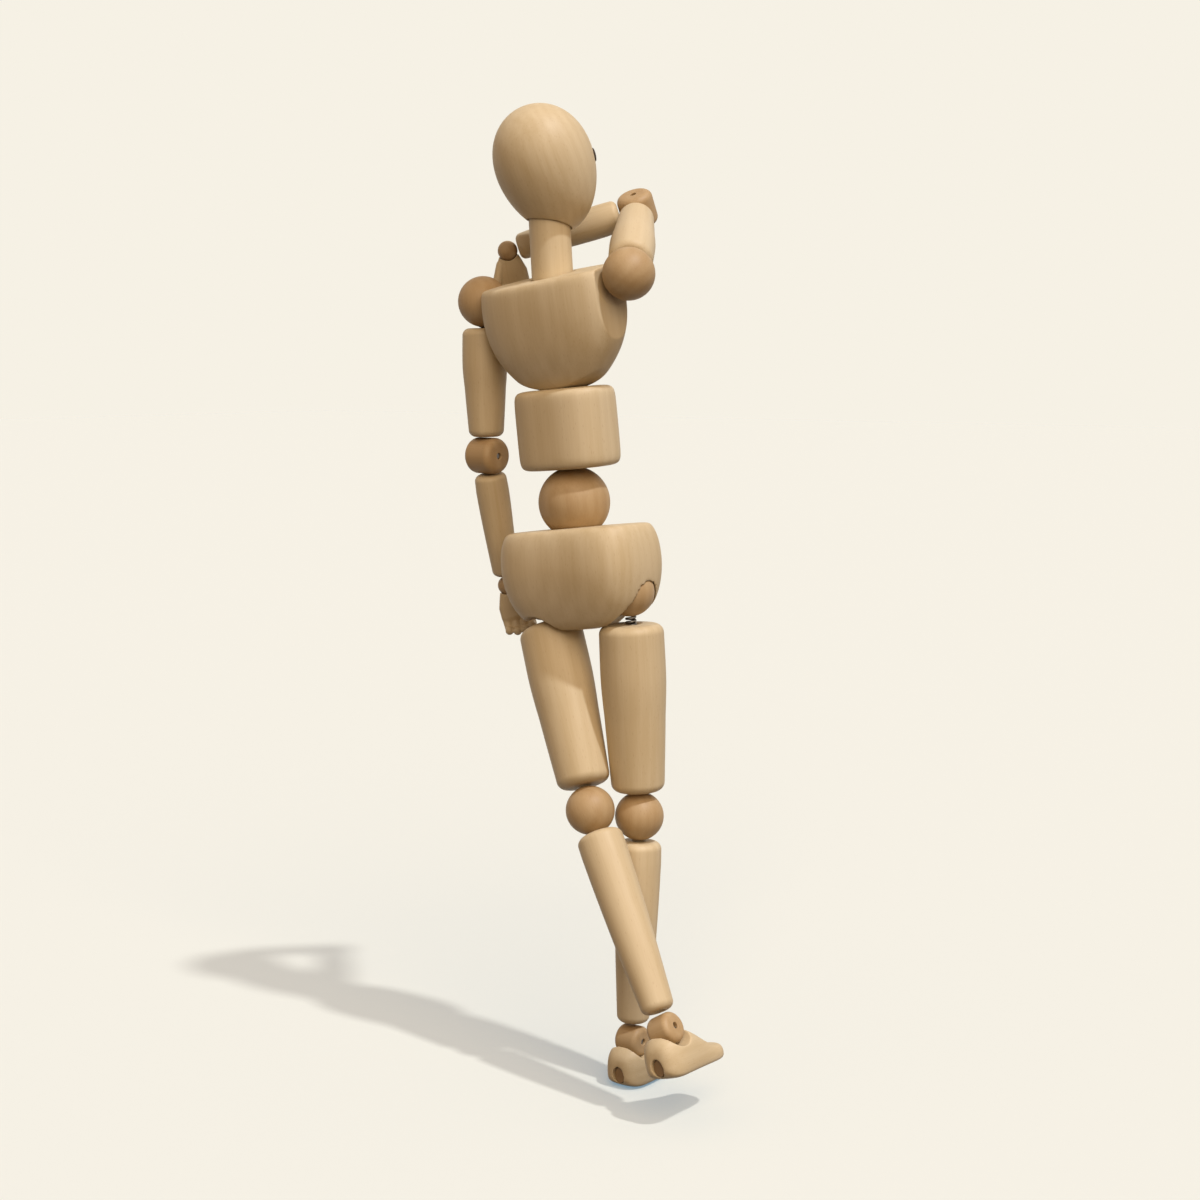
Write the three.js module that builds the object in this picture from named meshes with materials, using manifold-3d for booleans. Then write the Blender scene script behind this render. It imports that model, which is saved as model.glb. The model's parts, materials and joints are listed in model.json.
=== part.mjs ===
// Wooden artist mannequin, 12 inch size, in millimetres.
// +Z is up and the figure faces -Y, so its left side is +X.
// The origin is the mouth of the stand-rod socket under the pelvis.
import * as THREE from 'three';
import { ConvexGeometry } from 'three/addons/geometries/ConvexGeometry.js';
import { mergeVertices } from 'three/addons/utils/BufferGeometryUtils.js';
import Module from 'manifold-3d';

const wasm = await Module();
wasm.setup();

// Clearances
const SEAT_GAP = 0.3; // between a ball or barrel and the dish that it sits in
const PIN_GAP = 0.15; // round a pin in its hole, and round a spring in its bore
const PLUG_GAP = 0.25; // round an eye or a heel plug in its recess
const HOLLOW_GAP = 0.4; // between a thigh's top and its hollow under the pelvis

// Turned balls and barrels
const SHOULDER_BALL_R = 7.8;
const WAIST_BALL_R = 10.9;
const WRIST_BALL_R = 3.1;
const HIP_BALL_R = 7.5;
const KNEE_BALL_R = 7.4;
const ELBOW_BARREL = { radius: 5.6, length: 10.6, edge: 1.5 };
const ANKLE_BARREL = { radius: 4.6, length: 8.2, edge: 1.2 };

// Steel pins and springs
const PIN_R = 0.8;
const WAIST_PIN_R = 1.1;
const WRIST_PIN_R = 0.48;
const PIN_INSET = 0.8; // from a ball's side to the end of its pin
const SMALL_PIN_INSET = 0.6; // the same at barrels and wrists
const SPRING_BORE_R = 1.9;
const SPRING_WIRE_R = 0.4;
const SPRING_PITCH = 5;
const SPRING_INSET = 0.5; // from a limb's end to the end of its spring
const SPRING_HOLD = 1.8; // depth that a spring reaches into a ball

// Distances between joint centres
const HIP_HALF = 16.7;
const THIGH_SPAN = 68.5;
const SHIN_SPAN = 69.3;
const SHOULDER_HALF = 28.1;
const UPPER_ARM_SPAN = 47.5;
const FOREARM_SPAN = 42.4;

// Turned limbs: radii at the upper end, the belly and the lower end
const THIGH = { top: 9.8, belly: 10, bellyAt: 0.33, bottom: 8.15, edge: 2.8 };
const SHIN = { top: 7, belly: 7.1, bellyAt: 0.15, bottom: 5, edge: 2.3 };
const UPPER_ARM = { top: 6.7, belly: 7, bellyAt: 0.35, bottom: 5.5, edge: 2.2 };
const FOREARM = { top: 5, belly: 5.2, bellyAt: 0.2, bottom: 4.1, edge: 1.9 };
const THIGH_SETBACK = 2.4; // from hip ball to thigh, so that the thigh swings clear of the pelvis
const ANKLE_SETBACK = 1; // from shin to ankle barrel, so that the barrel can roll sideways

// Pelvis block, measured from the line between the hip balls
const PELVIS = { halfWidth: 25, halfDepth: 16.1, back: 1.1, top: 20.4, bottom: 10.4, square: 3.4 };
const WAIST_ABOVE_HIPS = 28.1;
const WAIST_BACK = 1.6;
const ROD_SOCKET_R = 2.1;
const ROD_SOCKET_DEPTH = 5;
const ROD_SOCKET_FORWARD = 5; // before the hip line, so that a rod passes in front of crossed legs

// Abdomen block, measured from the waist ball's centre
const ABDOMEN = { halfWidth: 15.9, halfDepth: 11.8, bottom: 10.3, height: 24.3, edge: 3, square: 2.6 };

// Chest block, measured from the line between the shoulder balls
const CHEST = { halfWidth: 25.2, halfDepth: 12.9, back: 1.5, top: 3.5, bottom: 30.9, square: 2.4 };
const CHEST_CHEEK = 21.9; // half distance between the flat cheeks under the shoulders
const CHEST_DISH_R = 20; // radius of the shoulder dishes, wider than the balls
const CHEST_SEAT_R = 30; // radius of the domed foot on which the chest turns
const CHEST_SEAT_SINK = 1.2; // depth of its dish in the abdomen
const CHEST_TOP_SLOPE = 0.16; // the top falls towards the back
const CHEST_BORE_DROP = 9; // from the shoulder line down to the cross bore
const CHEST_SPRING_HALF = 16;

// Neck and head
const NECK = { radius: 6.25, mouth: 2.6, baseAbove: 3, length: 16.3, inHead: 3, edge: 0.6 };
const HEAD = { halfLength: 19.5, radius: 14.9, egg: 0.107, tilt: 19, centre: 16 };
const EYE = { halfWidth: 1.3, halfHeight: 2.1, depth: 1.4, proud: 0.5, side: 25, above: 3.4 };

// Feet, measured from the ankle barrel's centre
const FOOT = { sole: 13.5, heel: 7.6, toe: 21.2, halfWidth: 6.9, top: 0.1 };
const HEEL_PLUG = { halfWidth: 1.8, halfHeight: 2.5, depth: 2.2, recess: 0.6, above: 4 };

// Hands, measured from the wrist ball's centre
const HAND = { palmLength: 9.4, halfWidth: 5.2, halfThick: 2.3, fingerLength: 9, fingerR: 1.4, curl: 45 };

// Pose in degrees: tilt turns about the front axis, swing about the side axis
const POSE = {
  pelvis: { tilt: 6.3 },
  waist: { tilt: -1.7, swing: -2.7 },
  chest: { tilt: 2.7, swing: -1 },
  neck: { tilt: -4.9, swing: 1.8 },
  head: { turn: -28 },
  leftShoulder: { tilt: -7.4, swing: 2 },
  rightShoulder: { tilt: -137.4, swing: -51.4 },
  leftElbow: { turn: -4.2, flex: -10.9 },
  rightElbow: { turn: -134.7, flex: -100.7 },
  leftWrist: { tilt: 16, bend: 2.5, turn: 42.4 },
  rightWrist: { tilt: -82.4, bend: -11.8, turn: 176.6 },
  leftHip: { tilt: 17.1, swing: 9.4, turn: 1.5 },
  rightHip: { tilt: -4, swing: -1.2, turn: 0 },
  leftKnee: { tilt: 8.2, flex: 0.3 },
  rightKnee: { tilt: -2.5, flex: 3.7 },
  leftAnkle: { tilt: -16.5, flex: -9.7 },
  rightAnkle: { tilt: 0.2, flex: -2.6 },
};

// Degrees that each thigh leans towards the other and swings back, between the ends of its range
const LEG_RANGE = {
  left: { inward: [11, 17.2], swing: [9.3, 21.5] },
  right: { inward: [-3.1, 4.1], swing: [-22.3, -1.1] },
};
const ALONG_X = { y: 90 }; // turns a spring along Z to lie across the figure

const ROUND = 16; // sides of a small turned piece
const FINE = 20; // sides of a limb

const finish = (color, roughness, metalness = 0) =>
  new THREE.MeshStandardMaterial({ color, roughness, metalness });
const beech = () => finish(0xd8bf94, 0.55);
const ballWood = () => finish(0xcda872, 0.5);
const steel = () => finish(0xb4b6ba, 0.35, 1);
const darkWood = () => finish(0x7f6039, 0.7);
const eyeBlack = () => finish(0x1c0f08, 0.3);

const rad = THREE.MathUtils.degToRad;
const figure = new THREE.Group();

// A closed three.js geometry as a solid for joins and cuts
function solid(geometry) {
  const bare = geometry.clone();
  for (const name of Object.keys(bare.attributes)) {
    if (name !== 'position') bare.deleteAttribute(name);
  }
  const merged = mergeVertices(bare, 1e-4);
  const corners = merged.index.array;
  const kept = [];
  for (let i = 0; i < corners.length; i += 3) {
    const [a, b, c] = [corners[i], corners[i + 1], corners[i + 2]];
    if (a !== b && b !== c && c !== a) kept.push(a, b, c);
  }
  const vertProperties = new Float32Array(merged.attributes.position.array);
  const triVerts = new Uint32Array(kept);
  return new wasm.Manifold(new wasm.Mesh({ numProp: 3, vertProperties, triVerts }));
}

function geometryOf(body) {
  const mesh = body.getMesh();
  const geometry = new THREE.BufferGeometry();
  geometry.setAttribute('position', new THREE.BufferAttribute(new Float32Array(mesh.vertProperties), 3));
  geometry.setIndex(new THREE.BufferAttribute(new Uint32Array(mesh.triVerts), 1));
  geometry.computeVertexNormals();
  return geometry;
}

function add(parent, name, body, material) {
  const mesh = new THREE.Mesh(geometryOf(body), material);
  mesh.name = name;
  parent.add(mesh);
  return mesh;
}

function frame(parent, x, y, z, turns = {}, order = 'YXZ') {
  const group = new THREE.Group();
  group.position.set(x, y, z);
  group.rotation.set(rad(turns.x ?? 0), rad(turns.y ?? 0), rad(turns.z ?? 0), order);
  parent.add(group);
  return group;
}

// A profile of [radius, height] pairs turned about Z, upwards outside and downwards inside
function turned(profile, sides = ROUND) {
  const points = profile.map(([r, z]) => new THREE.Vector2(r, z));
  return new THREE.LatheGeometry(points, sides).rotateX(Math.PI / 2);
}

// Points of an arc in a profile, angles in degrees from the +radius direction
function arc(r, z, radius, from, to, steps) {
  return Array.from({ length: steps + 1 }, (_, i) => {
    const a = rad(from + ((to - from) * i) / steps);
    return [Math.max(0, r + radius * Math.cos(a)), z + radius * Math.sin(a)];
  });
}

// The room that a turned shape needs under a hip while it leans over its range
function leaned(profile, { inward, swing }, side) {
  const sides = 24;
  const points = [];
  for (const lean of inward) {
    for (const back of [swing[0], (swing[0] + swing[1]) / 2, swing[1]]) {
      const turns = new THREE.Euler(rad(back), side * rad(lean), 0, 'YXZ');
      for (const [r, z] of profile) {
        for (let i = 0; i < sides; i += 1) {
          const t = (2 * Math.PI * i) / sides;
          points.push(new THREE.Vector3(r * Math.cos(t), r * Math.sin(t), z).applyEuler(turns));
        }
      }
    }
  }
  return solid(new ConvexGeometry(points).translate(side * HIP_HALF, 0, 0));
}

// A body through rings of equally many points, from the lowest ring to the highest
function lofted(rings) {
  const count = rings[0].length;
  const points = rings.flat();
  const middle = (ring) => ring.reduce((sum, p) => sum.add(p), new THREE.Vector3()).divideScalar(count);
  const low = points.length;
  points.push(middle(rings[0]), middle(rings[rings.length - 1]));
  const index = [];
  for (let i = 0; i < count; i += 1) {
    const j = (i + 1) % count;
    for (let k = 0; k + 1 < rings.length; k += 1) {
      const [a, b, c, d] = [k * count + i, k * count + j, (k + 1) * count + j, (k + 1) * count + i];
      index.push(a, b, c, a, c, d);
    }
    const last = (rings.length - 1) * count;
    index.push(low, j, i, low + 1, last + i, last + j);
  }
  const geometry = new THREE.BufferGeometry().setFromPoints(points);
  geometry.setIndex(index);
  return geometry;
}

// A rounded oval ring; a square of 2 is an ellipse and a larger one is boxier
function oval(a, b, z, square, sides = 28, y0 = 0, slope = 0) {
  const power = 2 / square;
  return Array.from({ length: sides }, (_, i) => {
    const t = (2 * Math.PI * i) / sides;
    const x = a * Math.sign(Math.cos(t)) * Math.abs(Math.cos(t)) ** power;
    const y = b * Math.sign(Math.sin(t)) * Math.abs(Math.sin(t)) ** power;
    return new THREE.Vector3(x, y0 + y, z - slope * y);
  });
}

const ballSolid = (radius, x = 0, y = 0, z = 0, sides = ROUND) =>
  solid(new THREE.SphereGeometry(radius, sides, Math.round(sides * 0.6)).translate(x, y, z));
const rodAlongX = (radius, length, sides = 10) =>
  solid(new THREE.CylinderGeometry(radius, radius, length, sides).rotateZ(Math.PI / 2));
const rodAlongZ = (radius, from, to, sides = 12) =>
  solid(new THREE.CylinderGeometry(radius, radius, to - from, sides).rotateX(Math.PI / 2)
    .translate(0, 0, (from + to) / 2));

// A coil spring along Z: one round wire in even turns
function coil(from, to, radius) {
  const turns = Math.max(2, Math.round((to - from) / SPRING_PITCH));
  const steps = turns * 6;
  const sides = 4;
  const rings = Array.from({ length: steps + 1 }, (_, i) => {
    const t = (2 * Math.PI * turns * i) / steps;
    const out = new THREE.Vector3(Math.cos(t), Math.sin(t), 0);
    const z = from + SPRING_WIRE_R + ((to - from - 2 * SPRING_WIRE_R) * i) / steps;
    return Array.from({ length: sides }, (_, j) => {
      const s = (2 * Math.PI * j) / sides + Math.PI / 4;
      const point = out.clone().multiplyScalar(radius - SPRING_WIRE_R + SPRING_WIRE_R * Math.cos(s));
      return point.setZ(z + SPRING_WIRE_R * Math.sin(s));
    }).reverse();
  });
  return solid(lofted(rings));
}

// A turned ball with a hole for its cross pin
function pinnedBall(radius, pinR) {
  const hole = pinR + PIN_GAP;
  const edge = Math.asin(hole / radius) * THREE.MathUtils.RAD2DEG;
  const outside = arc(0, 0, radius, edge - 90, 90 - edge, 9);
  return solid(turned([...outside, outside[0]]).rotateY(Math.PI / 2));
}

// A barrel with rounded rims and a hole for its cross pin, its axis along X
function pinnedBarrel({ radius, length, edge }, pinR) {
  const half = length / 2;
  const hole = pinR + PIN_GAP;
  const rims = [
    ...arc(radius - edge, edge - half, edge, -90, 0, 3),
    ...arc(radius - edge, half - edge, edge, 0, 90, 3),
  ];
  const barrel = turned([[hole, -half], ...rims, [hole, half], [hole, -half]]);
  return solid(barrel.rotateY(Math.PI / 2));
}

// A turned limb from its upper end plane to its lower one, bored through for its spring
function limb({ top, belly, bellyAt, bottom, edge }, from, to) {
  const length = from - to;
  const outside = [
    ...arc(bottom - edge, to + edge, edge, -90, 0, 3),
    [(belly + bottom) / 2 + 0.12 * (belly - bottom), to + length * 0.45],
    [belly, from - length * bellyAt],
    ...arc(top - edge, from - edge, edge, 0, 90, 3),
  ];
  const bore = SPRING_BORE_R;
  return solid(turned([[bore, to], ...outside, [bore, from], [bore, to]], FINE));
}

// Pelvis block with its hip and waist sockets, cross bore and stand-rod socket
const rodMouth = new THREE.Vector3(0, -ROD_SOCKET_FORWARD, -PELVIS.bottom);
const front = new THREE.Vector3(0, 1, 0);
const pelvisAt = rodMouth.clone().negate().applyAxisAngle(front, rad(POSE.pelvis.tilt));
const pelvis = frame(figure, ...pelvisAt.toArray(), { y: POSE.pelvis.tilt });
{
  const { halfWidth: a, halfDepth: b, back, top, bottom, square } = PELVIS;
  const low = -bottom;
  const ring = (wide, deep, z) => oval(wide * a, deep * b, z, square, 28, back);
  const rings = [
    ring(0.34, 0.48, low),
    ring(0.56, 0.58, low + 0.8),
    ring(0.73, 0.68, low + 2.6),
    ring(0.86, 0.79, low + 5.7),
    ring(0.945, 0.9, low + 10),
    ring(0.99, 0.98, low + 15.4),
    ring(1, 1, low + 20),
    ring(0.985, 0.98, top - 5.5),
    ring(0.94, 0.92, top - 1.9),
    ring(0.9, 0.86, top - 0.5),
    ring(0.86, 0.78, top),
  ];
  let body = solid(lofted(rings));
  const thighTop = -HIP_BALL_R - THIGH_SETBACK;
  const rimAt = [THIGH.top - THIGH.edge, thighTop - THIGH.edge];
  const thighRim = arc(...rimAt, THIGH.edge + HOLLOW_GAP, 0, 90, 3);
  const thighHead = [[THIGH.top + HOLLOW_GAP, thighTop - THIGH.top], ...thighRim];
  for (const [side, range] of [[1, LEG_RANGE.left], [-1, LEG_RANGE.right]]) {
    const socketR = HIP_BALL_R + SEAT_GAP;
    const mouth = rodAlongZ(socketR, low - 1, 0, 24).translate([side * HIP_HALF, 0, 0]);
    body = body.subtract(ballSolid(socketR, side * HIP_HALF, 0, 0, 18));
    body = body.subtract(mouth);
    body = body.subtract(leaned(thighHead, range, side));
  }
  body = body.subtract(ballSolid(WAIST_BALL_R + SEAT_GAP, 0, WAIST_BACK, WAIST_ABOVE_HIPS, 20));
  body = body.subtract(rodAlongX(SPRING_BORE_R, 2 * (HIP_HALF - HIP_BALL_R) + 2));
  const rodSocket = rodAlongZ(ROD_SOCKET_R, low - 1, low + ROD_SOCKET_DEPTH, 16);
  body = body.subtract(rodSocket.translate([0, -ROD_SOCKET_FORWARD, 0]));
  add(pelvis, 'pelvis', body, beech());
  const reach = HIP_HALF - HIP_BALL_R - SEAT_GAP;
  const spring = coil(-reach, reach, SPRING_BORE_R - PIN_GAP);
  add(frame(pelvis, 0, 0, 0, ALONG_X), 'pelvis_cross_spring', spring, steel());
}

// Waist ball on its pin
const waistTurns = { x: POSE.waist.swing, y: POSE.waist.tilt };
const waist = frame(pelvis, 0, WAIST_BACK, WAIST_ABOVE_HIPS, waistTurns);
const seatHigh = ABDOMEN.bottom + ABDOMEN.height - CHEST_SEAT_SINK + CHEST_SEAT_R;
{
  const bore = rodAlongZ(SPRING_BORE_R, WAIST_PIN_R + 1, WAIST_BALL_R + 1);
  add(waist, 'waist_ball', pinnedBall(WAIST_BALL_R, WAIST_PIN_R).subtract(bore), ballWood());
  add(waist, 'waist_pin', rodAlongX(WAIST_PIN_R, 2 * (WAIST_BALL_R - PIN_INSET)), steel());
}

// Abdomen block between the waist ball and the chest
{
  const { halfWidth: a, halfDepth: b, bottom, height, edge, square } = ABDOMEN;
  const top = bottom + height;
  const rings = [
    oval(a - edge, b - edge, bottom, square),
    oval(a - 0.3 * edge, b - 0.3 * edge, bottom + 0.3 * edge, square),
    oval(a, b, bottom + edge, square),
    oval(a, b, top - edge, square),
    oval(a - 0.3 * edge, b - 0.3 * edge, top - 0.3 * edge, square),
    oval(a - edge, b - edge, top, square),
  ];
  const body = solid(lofted(rings))
    .subtract(ballSolid(WAIST_BALL_R + SEAT_GAP, 0, 0, 0, 20))
    .subtract(ballSolid(CHEST_SEAT_R, 0, 0, seatHigh, 30))
    .subtract(rodAlongZ(SPRING_BORE_R, bottom - 1, top + 1));
  add(waist, 'abdomen', body, beech());
  const springTop = top - CHEST_SEAT_SINK - SEAT_GAP;
  const spring = coil(WAIST_BALL_R - SPRING_HOLD, springTop, SPRING_BORE_R - PIN_GAP);
  add(waist, 'spine_spring', spring, steel());
}

// Chest block with its shoulder dishes, flat cheeks and neck socket
const seat = frame(waist, 0, 0, seatHigh, { x: POSE.chest.swing, y: POSE.chest.tilt });
const chest = frame(seat, 0, 0, CHEST.bottom + SEAT_GAP - CHEST_SEAT_R);
{
  const { halfWidth: a, halfDepth: b, back, top, bottom, square } = CHEST;
  const s = CHEST_TOP_SLOPE;
  const ring = (wide, deep, z, slope = 0) => oval(wide * a, deep * b, z, square, 28, back, slope);
  const rings = [
    ring(0.3, 0.36, -bottom),
    ring(0.44, 0.48, 1 - bottom),
    ring(0.6, 0.62, 3.6 - bottom),
    ring(0.76, 0.78, 8 - bottom),
    ring(0.88, 0.9, 12.5 - bottom),
    ring(0.975, 0.98, 19 - bottom),
    ring(1, 1, -6),
    ring(0.995, 0.985, -1.2, 0.5 * s),
    ring(0.975, 0.96, top - 1.5, 0.9 * s),
    ring(0.95, 0.9, top - 0.4, s),
    ring(0.9, 0.8, top, s),
  ];
  const footR = CHEST_SEAT_R - SEAT_GAP;
  let body = solid(lofted(rings)).intersect(ballSolid(footR, 0, 0, footR - bottom, 48));
  // The raised upper arm of the pose notches the top's front corners
  const armNotchR = UPPER_ARM.top + SEAT_GAP;
  const dishAt = SHOULDER_HALF - SHOULDER_BALL_R - SEAT_GAP + CHEST_DISH_R;
  for (const side of [1, -1]) {
    const slab = new THREE.BoxGeometry(20, 60, 80).translate(side * (CHEST_CHEEK + 10), 0, 0);
    body = body.subtract(solid(slab));
    body = body.subtract(ballSolid(CHEST_DISH_R, side * dishAt, 0, 0, 24));
    const notch = new THREE.CylinderGeometry(armNotchR, armNotchR, 20, 24).rotateX(Math.PI / 2);
    notch.translate(0, 0, -SHOULDER_BALL_R - 10).rotateX(rad(POSE.rightShoulder.swing));
    notch.rotateY(-side * rad(POSE.rightShoulder.tilt)).translate(side * SHOULDER_HALF, 0, 0);
    body = body.subtract(solid(notch));
  }
  const mouth = new THREE.CylinderGeometry(NECK.radius + NECK.mouth, NECK.radius + SEAT_GAP, 6, 20)
    .rotateX(Math.PI / 2).translate(0, 0, NECK.baseAbove + 3);
  body = body.subtract(ballSolid(NECK.radius + SEAT_GAP, 0, 0, NECK.baseAbove, 20));
  body = body.subtract(solid(mouth));
  body = body.subtract(rodAlongX(SPRING_BORE_R, 2 * CHEST_CHEEK).translate([0, 0, -CHEST_BORE_DROP]));
  add(chest, 'chest', body, beech());
  const spring = coil(-CHEST_SPRING_HALF, CHEST_SPRING_HALF, SPRING_BORE_R - PIN_GAP);
  const springAt = frame(chest, 0, 0, -CHEST_BORE_DROP, ALONG_X);
  add(springAt, 'chest_cross_spring', spring, steel());
}

// Neck on its pin, and the head that turns on it
const neck = frame(chest, 0, 0, NECK.baseAbove, { x: POSE.neck.swing, y: POSE.neck.tilt });
{
  const { radius: r, length, inHead, edge } = NECK;
  const top = length + inHead;
  const bore = SPRING_BORE_R;
  const profile = [
    ...arc(0, 0, r, Math.asin(bore / r) * THREE.MathUtils.RAD2DEG - 90, 0, 5),
    [r - 0.05, top - edge],
    [r - edge, top],
    [bore, top],
  ];
  const post = solid(turned([...profile, profile[0]], FINE));
  add(neck, 'neck', post.subtract(rodAlongX(PIN_R + PIN_GAP, 3 * r)), beech());
  add(neck, 'neck_pin', rodAlongX(PIN_R, 2 * (r - PIN_INSET)), steel());
  add(neck, 'neck_spring', coil(PIN_R + SPRING_INSET, top - SPRING_INSET, bore - PIN_GAP), steel());
}

const head = frame(neck, 0, 0, NECK.length, { z: POSE.head.turn });
{
  const { halfLength, radius, egg, tilt, centre } = HEAD;
  const profile = Array.from({ length: 17 }, (_, i) => {
    const t = Math.PI * (1 - i / 16);
    const r = radius * Math.sin(t) * (1 + egg * Math.cos(t));
    return [i % 16 === 0 ? 0 : r, halfLength * Math.cos(t)];
  });
  const shell = turned(profile, 28).rotateX(rad(-tilt)).translate(0, 0, centre);
  let body = solid(shell).subtract(rodAlongZ(NECK.radius + SEAT_GAP, -12, NECK.inHead + SEAT_GAP, 24));
  const ray = new THREE.Raycaster();
  const target = new THREE.Mesh(geometryOf(body));
  target.material.side = THREE.DoubleSide;
  for (const [name, side] of [['left_eye', 1], ['right_eye', -1]]) {
    const out = new THREE.Vector3(side * Math.sin(rad(EYE.side)), -Math.cos(rad(EYE.side)), 0);
    const start = new THREE.Vector3(0, 0, centre + EYE.above).addScaledVector(out, 40);
    ray.set(start, out.clone().negate());
    const hit = ray.intersectObject(target)[0];
    const aim = new THREE.Quaternion().setFromUnitVectors(new THREE.Vector3(0, 0, 1), hit.face.normal);
    const button = (grow) => {
      const low = -EYE.depth - grow;
      const dome = [[0, low], [1, low], [1, 0], [0.7, 0.7 * EYE.proud], [0, EYE.proud]];
      const disc = turned(dome, 14).scale(EYE.halfWidth + grow, EYE.halfHeight + grow, 1);
      return solid(disc.applyQuaternion(aim).translate(...hit.point.toArray()));
    };
    add(head, name, button(0), eyeBlack());
    body = body.subtract(button(PLUG_GAP));
  }
  add(head, 'head', body, beech());
}

// One leg: hip ball and pin, thigh, knee, shin, ankle barrel and foot
function leg(name, side, hipTurn, kneeTurn, ankleTurn) {
  const hipTurns = { x: hipTurn.swing, y: hipTurn.tilt, z: hipTurn.turn };
  const hip = frame(pelvis, side * HIP_HALF, 0, 0, hipTurns);
  const boreInBall = rodAlongZ(SPRING_BORE_R, -HIP_BALL_R - 1, -PIN_R - 1);
  add(hip, `${name}_hip_ball`, pinnedBall(HIP_BALL_R, PIN_R).subtract(boreInBall), ballWood());
  add(hip, `${name}_hip_pin`, rodAlongX(PIN_R, 2 * (HIP_BALL_R - PIN_INSET)), steel());
  const thighTop = -HIP_BALL_R - THIGH_SETBACK;
  const thighEnd = KNEE_BALL_R + SEAT_GAP - THIGH_SPAN;
  add(hip, `${name}_thigh`, limb(THIGH, thighTop, thighEnd), beech());
  const thighSpring = coil(thighEnd + SPRING_INSET, SPRING_HOLD - HIP_BALL_R, SPRING_BORE_R - PIN_GAP);
  add(hip, `${name}_thigh_spring`, thighSpring, steel());

  const knee = frame(hip, 0, 0, -THIGH_SPAN, { x: kneeTurn.flex, y: kneeTurn.tilt });
  add(knee, `${name}_knee_ball`, pinnedBall(KNEE_BALL_R, PIN_R), ballWood());
  add(knee, `${name}_knee_pin`, rodAlongX(PIN_R, 2 * (KNEE_BALL_R - PIN_INSET)), steel());
  const shinTop = -KNEE_BALL_R - SEAT_GAP;
  const shinEnd = ANKLE_BARREL.radius + ANKLE_SETBACK - SHIN_SPAN;
  add(knee, `${name}_shin`, limb(SHIN, shinTop, shinEnd), beech());
  const shinSpring = coil(shinEnd + SPRING_INSET, shinTop - SPRING_INSET, SPRING_BORE_R - PIN_GAP);
  add(knee, `${name}_shin_spring`, shinSpring, steel());

  const ankle = frame(knee, 0, 0, -SHIN_SPAN, { x: ankleTurn.flex, y: ankleTurn.tilt });
  add(ankle, `${name}_ankle_barrel`, pinnedBarrel(ANKLE_BARREL, PIN_R), ballWood());
  add(ankle, `${name}_ankle_pin`, rodAlongX(PIN_R, ANKLE_BARREL.length - 2 * SMALL_PIN_INSET), steel());
  foot(ankle, name);
}

// A foot: rounded heel, saddle for the barrel, sloping instep and thin toes on a flat sole
function foot(ankle, name) {
  const { sole, heel, toe, halfWidth, top } = FOOT;
  const half = [[0.74, 0], [0.95, 0.09], [1, 0.28], [1, 0.55], [0.87, 0.82], [0.5, 0.96]];
  const outline = [...half, [0, 1], ...half.slice().reverse().map(([u, v]) => [-u, v])];
  // A ring across the foot at y: share of the width, drop of its top and lift of its bottom
  const arch = (y, share, drop, lift) => outline.map(([u, v]) => {
    const low = lift - sole;
    return new THREE.Vector3(u * share * halfWidth, y, low + v * (top - drop - low));
  });
  const rings = [
    arch(heel, 0.4, 4.6, 3.4),
    arch(heel - 0.7, 0.62, 2.8, 1.7),
    arch(heel - 2, 0.8, 1.3, 0.6),
    arch(heel - 4.4, 0.95, 0.2, 0),
    arch(1, 1, 0, 0),
    arch(-3, 0.99, 0, 0),
    arch(-6.2, 0.96, 1.2, 0),
    arch(-10, 0.92, 4.2, 0),
    arch(-13.5, 0.88, 6.9, 0),
    arch(-16.5, 0.84, 8.2, 0),
    arch(2.4 - toe, 0.74, 8.4, 0.1),
    arch(0.8 - toe, 0.56, 9, 0.5),
    arch(-toe, 0.34, 10, 1.3),
  ];
  const saddle = rodAlongX(ANKLE_BARREL.radius + SEAT_GAP, 30, 24);
  const plugAt = -sole + HEEL_PLUG.above;
  const plug = (grow, from, to) => {
    const stub = new THREE.CylinderGeometry(1, 1, to - from, 16).translate(0, (from + to) / 2, 0);
    stub.scale(HEEL_PLUG.halfWidth + grow, 1, HEEL_PLUG.halfHeight + grow);
    return solid(stub.translate(0, 0, plugAt));
  };
  const face = heel - HEEL_PLUG.recess - 0.4;
  const body = solid(lofted(rings))
    .subtract(saddle)
    .subtract(plug(PLUG_GAP, face - HEEL_PLUG.depth - SEAT_GAP, heel + 2));
  add(ankle, `${name}_foot`, body, beech());
  add(ankle, `${name}_heel_plug`, plug(0, face - HEEL_PLUG.depth, face), darkWood());
}

leg('left', 1, POSE.leftHip, POSE.leftKnee, POSE.leftAnkle);
leg('right', -1, POSE.rightHip, POSE.rightKnee, POSE.rightAnkle);

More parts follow.
